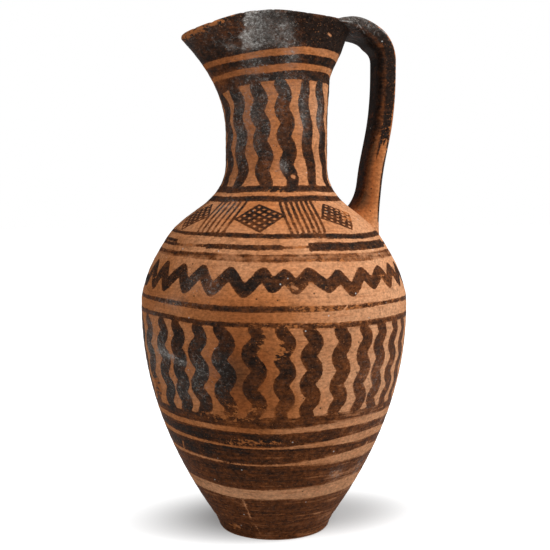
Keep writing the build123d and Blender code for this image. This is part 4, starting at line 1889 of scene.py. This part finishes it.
@dataclass
class StrapHandle:
    """The strap handle, lapped on the rim and flared onto the shoulder by the clay pressed round it.

    The rim end and the root are told apart by their share of the strap's length. Flares are how far the
    inner face, the edges and the outer face are let out, and a place is a middle and a spread along the
    strap, or, for the bow, in height.
    """

    form: JugForm
    aging: StrapWear = StrapWear()
    width: float = 24.0
    thickness: float = 12.5
    squareness: float = 3.6
    lap: float = 5.0
    crest: float = 4.3
    reach: float = 69.9
    crook_radius: float = 20.0
    bend_drop: float = 46.0
    bend_radius: float = 240.0
    root_radius: float = 57.0
    root_depth: float = 22.0
    nose: float = 5.0
    row_step: float = 0.8
    columns: int = 96
    arc_points: int = 60
    section_points: int = 4001
    rim_end: float = 0.3
    root_start: float = 0.5
    root_flare: Triple = (9.0, 6.0, 1.0)
    root_fade: float = 26.0
    root_curve: float = 2.4
    rim_flare: float = -2.8
    rim_fade: float = 16.0
    rim_curve: float = 2.2
    crook_fill: float = 2.0
    crook_place: Range = (22.0, 7.0)
    crest_round: float = 0.7
    crest_place: Range = (13.0, 6.0)
    lap_inset: float = 2.0
    lap_curve: float = 1.5
    wing_start: float = 0.46
    wing_spread: float = 1.85
    wing_fall: float = 4.6
    wing_thinning: float = 0.75
    wing_bend_limit: float = 0.9
    shank_bow: float = 1.3
    bow_place: Range = (222.0, 20.0)

    def path(self) -> Array:
        """Line of the handle in the plane of spout and handle: straight runs joined by two arcs.

        Returns:
            Evenly spaced rows of distance from the axis and height.
        """
        top = self.form.rim_z + self.crest - 0.5 * self.thickness
        start = np.array([self.form.back_rim_radius - self.lap, top])
        crook = np.array([self.reach, top])
        knee = np.array([self.reach, top - self.bend_drop])
        root = np.array([self.root_radius, self.form.neck_seam_z - self.root_depth])
        arcs = [
            self.bend(crook, self.crook_radius, start, knee),
            self.bend(knee, self.bend_radius, crook, root),
        ]
        return evenly(np.vstack([start[None, :], *arcs, root[None, :]]), self.row_step)

    def bend(self, corner: Array, radius: float, before: Array, after: Array) -> Array:
        """Arc that rounds a corner, tangent to both its runs.

        Args:
            corner: The corner.
            radius: Radius of the arc.
            before: A point of the run that comes in.
            after: A point of the run that goes out.

        Returns:
            Points of the arc.
        """
        way_in = (corner - before) / np.linalg.norm(corner - before)
        way_out = (after - corner) / np.linalg.norm(after - corner)
        turn = math.acos(float(np.clip(way_in @ way_out, -1.0, 1.0)))
        first = corner - way_in * radius * math.tan(0.5 * turn)
        inward = np.array([way_in[1], -way_in[0]])
        sweep = np.linspace(0.0, turn, self.arc_points)[:, None]
        return first + radius * np.sin(sweep) * way_in + radius * (1.0 - np.cos(sweep)) * inward

    def section(self) -> tuple[Array, Array]:
        """Section of the strap: a superellipse |y/a|ⁿ + |t/b|ⁿ = 1, with evenly spaced points.

        Returns:
            Offsets across the strap and outwards from its line.
        """
        turn = np.linspace(0.0, 2.0 * np.pi, self.section_points)
        power = 2.0 / self.squareness
        across = 0.5 * self.width * np.sign(np.sin(turn)) * np.abs(np.sin(turn)) ** power
        out = 0.5 * self.thickness * np.sign(np.cos(turn)) * np.abs(np.cos(turn)) ** power
        run = distance_along(np.stack([across, out], axis=1))
        places = np.linspace(0.0, run[-1], self.columns, endpoint=False)
        return np.interp(places, run, across), np.interp(places, run, out)

    def build(self, finish: Material) -> Piece:
        """Carries the section along the path and lets it out where it meets the rim and the shoulder.

        A point's flare grows with a power of its nearness to the wall that it meets, and is greatest on
        the inner face and the edges. The rim end closes in a rounded nose and spreads in two wings that
        bend with the mouth, thin out and fall towards their tips.

        Args:
            finish: Painted clay of the handle.

        Returns:
            The handle.
        """
        line = self.path()
        x_line, z_line = line[:, :1], line[:, 1:]
        way = np.gradient(line, axis=0)
        way /= np.linalg.norm(way, axis=1)[:, None]
        across, out = (offsets[None, :] for offsets in self.section())
        half_depth = 0.5 * self.thickness
        inner_share = np.clip(-out / half_depth, 0.0, 1.0)
        outer_share = np.clip(out / half_depth, 0.0, 1.0)
        side_share = np.abs(across / (0.5 * self.width)) ** 2
        along = (np.arange(len(line)) * self.row_step)[:, None]
        nose = np.sqrt(np.clip(1.0 - np.clip(1.0 - along / self.nose, 0.0, 1.0) ** 2, 0.0, 1.0))
        nose[-1] = 0.0
        at_rim = along < self.rim_end * along[-1]
        at_root = along > self.root_start * along[-1]

        beyond_rim = x_line - self.form.back_rim_radius + self.lap_inset
        lapped = at_rim * np.clip(1.0 - beyond_rim / self.rim_fade, 0.0, 1.0) ** self.lap_curve
        bow = ~at_rim * self.shank_bow * bell(z_line, *self.bow_place)
        lobe = self.form.lobe_radius

        def placed(grow_out: Array, grow_side: Array) -> Array:
            """Points of the strap with its faces let out and its rim end spread in wings.

            Args:
                grow_out: How far the faces are let out.
                grow_side: How far the edges are let out.

            Returns:
                Points of the grid.
            """
            y = nose * (across + np.sign(across) * grow_side) * (1.0 + self.wing_spread * lapped)
            far = np.clip(np.abs(y) / self.width - self.wing_start, 0.0, 1.0) * lapped
            t = out + grow_out
            t = nose * (t + (half_depth - t) * self.wing_thinning * far)
            sideways = np.clip(np.abs(y), 0.0, self.wing_bend_limit * lobe)
            bend = lobe - np.sqrt(lobe**2 - sideways**2)
            x = x_line - way[:, 1:] * t - bend * np.sqrt(lapped) - bow
            z = z_line + way[:, :1] * t - self.wing_fall * far
            return np.stack([x, y, z], axis=-1)

        plain = placed(np.zeros((1, 1)), np.zeros((1, 1)))
        plan = np.hypot(plain[..., 0], plain[..., 1])
        body = self.form.body_line()
        falling = body[body[:, 1] > self.form.belly_z][::-1]
        above_shoulder = plain[..., 2] - np.interp(plan, falling[:, 0], falling[:, 1])
        root_near = at_root * np.clip(1.0 - above_shoulder / self.root_fade, 0.0, 1.0) ** self.root_curve
        ground = np.degrees(np.arctan2(plain[..., 1], plain[..., 0]))
        mouth_r, _slope = self.form.neck_line(ground, plain[..., 2])
        rim_near = at_rim * np.clip(1.0 - (plan - mouth_r) / self.rim_fade, 0.0, 1.0) ** self.rim_curve

        inner_flare, side_flare, outer_flare = self.root_flare
        filled = self.crook_fill * bell(along, *self.crook_place)
        rounded = self.crest_round * bell(along, *self.crest_place)
        grow_out = outer_share * (outer_flare * root_near - rounded)
        grow_out -= inner_share * (inner_flare * root_near + self.rim_flare * rim_near + filled)
        points = placed(grow_out, side_share * side_flare * root_near)
        values = self.aging.values(points, across[0], out[0], self.width, self.thickness)
        piece = Grid("strap_handle_dressed", points, RowEnds.POLES, *values).build()
        settle(piece, finish, Slot.HANDLE, "strap_handle", "handle_root_coil", "handle_rim_pad")
        return piece


@dataclass
class SeamCoils:
    """The rolls of clay smoothed over the two seams inside the pot, which keep their solids."""

    nodes: tuple[str, ...] = ("belly_seam_coil", "neck_seam_coil")

    def dress(self, finish: Material) -> None:
        """Gives the solids the bare clay.

        Args:
            finish: Bare clay.
        """
        for name in self.nodes:
            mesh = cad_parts[name].data
            mesh.materials.clear()
            mesh.materials.append(finish)
            log.info("%s: keeps its solid, in bare clay", name)


@dataclass(frozen=True)
class Softbox:
    """A square lamp: where it hangs in metres, the length of its side, and its power in watts."""

    name: str
    place: Triple
    size: float
    power: float


@dataclass
class Studio:
    """Pale floor with a painted shadow round the foot, white surroundings, soft lamps and the camera."""

    camera_turn: float = -12.0
    camera_distance: float = 0.62188
    camera_height: float = 0.20641
    camera_pitch: float = 4.46
    camera_yaw: float = 0.057
    focal_pixels: float = 1000.0
    picture_width: float = 550.0
    sensor: float = 36.0
    floor_half: float = 6.0
    floor_shade: float = 0.50
    # Painted shadow: the glow that the camera sees falls to its lowest level in an ellipse a little
    # behind the foot.
    painted_shadow_glow: float = 0.08
    floor_far_glow: float = 1.0
    painted_shadow_start: float = 0.030
    painted_shadow_end: float = 0.130
    painted_shadow_squash: float = 1.6
    painted_shadow_centre: Pair = (0.014, 0.017)
    ambient: float = 0.28
    lamp_aim: Triple = (0.0, 0.0, 0.16)
    lamps: tuple[Softbox, ...] = (
        Softbox("key_softbox", (0.80, -0.72, 1.30), 0.7, 25.0),
        Softbox("fill_softbox", (-0.9, -0.7, 0.6), 0.9, 3.5),
    )

    def build(self) -> None:
        """Sets up the whole studio."""
        self.build_floor()
        self.build_world()
        for lamp in self.lamps:
            self.add_lamp(lamp)
        self.build_camera()

    def build_floor(self) -> None:
        """Lays the floor: a pale matt sheet that glows for the camera, so that only the shadow shows.

        The glow is weakest in an ellipse a little behind the foot, a painted shadow that darkens the
        floor round the foot beyond the lamps' own shadow.
        """
        half = self.floor_half
        corners = [(-half, -half, 0.0), (half, -half, 0.0), (half, half, 0.0), (-half, half, 0.0)]
        mesh = bpy.data.meshes.new("floor")
        mesh.from_pydata(corners, [], [(0, 1, 2, 3)])
        floor = bpy.data.objects.new("floor", mesh)
        bpy.context.scene.collection.objects.link(floor)
        kit = NodeKit("pale_floor")
        matt = kit.add("BsdfDiffuse")
        matt.inputs["Color"].default_value = (self.floor_shade, self.floor_shade, self.floor_shade, 1.0)
        # Painted shadow: the glow is lowest near a centre a little behind the foot and rises outwards.
        painted_shadow_distance = kit.add("VectorMath")
        painted_shadow_distance.operation = "DISTANCE"
        kit.feed(painted_shadow_distance.inputs[0], kit.place((1.0, self.painted_shadow_squash, 1.0)))
        painted_shadow_distance.inputs[1].default_value = (self.painted_shadow_centre[0], self.painted_shadow_squash * self.painted_shadow_centre[1], 0.0)
        reach = (self.painted_shadow_start, self.painted_shadow_end)
        level = kit.remap(painted_shadow_distance.outputs["Value"], *reach, self.painted_shadow_glow, self.floor_far_glow)
        glow = kit.add("Emission")
        kit.feed(glow.inputs["Strength"], kit.times(self.seen(kit), level))
        both = kit.add("AddShader")
        kit.feed(both.inputs[0], matt.outputs[0])
        kit.feed(both.inputs[1], glow.outputs[0])
        kit.feed(kit.output.inputs["Surface"], both.outputs[0])
        mesh.materials.append(kit.material)

    def seen(self, kit: NodeKit) -> Socket:
        """One for rays of the camera, of reflections and through glass, zero for the rest."""
        rays = kit.add("LightPath").outputs
        mirrored = kit.math("MAXIMUM", rays["Is Glossy Ray"], rays["Is Transmission Ray"])
        return kit.math("MAXIMUM", rays["Is Camera Ray"], mirrored)

    def build_world(self) -> None:
        """Surrounds the scene with white for the camera and a plain soft level for the object."""
        world = bpy.data.worlds.new("studio")
        world.use_nodes = True
        tree = world.node_tree
        background = tree.nodes["Background"]
        background.inputs["Color"].default_value = (1.0, 1.0, 1.0, 1.0)
        paths = tree.nodes.new("ShaderNodeLightPath")
        level = tree.nodes.new("ShaderNodeMapRange")
        level.inputs["To Min"].default_value = self.ambient
        level.inputs["To Max"].default_value = 1.0
        tree.links.new(paths.outputs["Is Camera Ray"], level.inputs["Value"])
        tree.links.new(level.outputs[0], background.inputs["Strength"])
        bpy.context.scene.world = world

    def add_lamp(self, softbox: Softbox) -> None:
        """Hangs one softbox turned towards the pot's middle.

        Args:
            softbox: The lamp.
        """
        light = bpy.data.lights.new(softbox.name, "AREA")
        light.energy = softbox.power
        light.size = softbox.size
        lamp = bpy.data.objects.new(softbox.name, light)
        lamp.location = softbox.place
        towards = Vector(self.lamp_aim) - Vector(softbox.place)
        lamp.rotation_euler = towards.to_track_quat("-Z", "Y").to_euler()
        bpy.context.scene.collection.objects.link(lamp)

    def build_camera(self) -> None:
        """Places the camera at the viewing angle of the picture and makes it the scene's own."""
        turn = math.radians(self.camera_turn)
        lens = bpy.data.cameras.new("camera")
        lens.sensor_width = self.sensor
        lens.lens = self.sensor * self.focal_pixels / self.picture_width
        camera = bpy.data.objects.new("camera", lens)
        camera.location = (
            self.camera_distance * math.sin(turn),
            -self.camera_distance * math.cos(turn),
            self.camera_height,
        )
        tip = math.radians(90.0 - self.camera_pitch)
        camera.rotation_euler = (tip, 0.0, turn - math.radians(self.camera_yaw))
        bpy.context.scene.collection.objects.link(camera)
        bpy.context.scene.camera = camera


def write_sizes() -> None:
    """Updates the view layer."""
    bpy.context.view_layer.update()


def main() -> None:
    """Builds the jug piece by piece, then the studio."""
    logging.basicConfig(level=logging.INFO, format="%(name)s: %(message)s")
    bpy.context.scene.view_settings.view_transform = "Standard"
    form = JugForm.from_frame()
    pattern = PaintedPattern()
    weathering = Weathering()
    painted = SlipOnClay(Slot.PAINTED.value).material()
    handle_clay = SlipOnClay(Slot.HANDLE.value, cracked=0.55).material()
    bare = BareClay(Slot.BARE.value).material()
    for kind in (FootRing, LowerBody, UpperBody, NeckAndMouth):
        kind(form, pattern, weathering).build(painted)
    StrapHandle(form).build(handle_clay)
    SeamCoils().dress(bare)
    Studio().build()
    write_sizes()


if __name__ == "__main__":
    main()
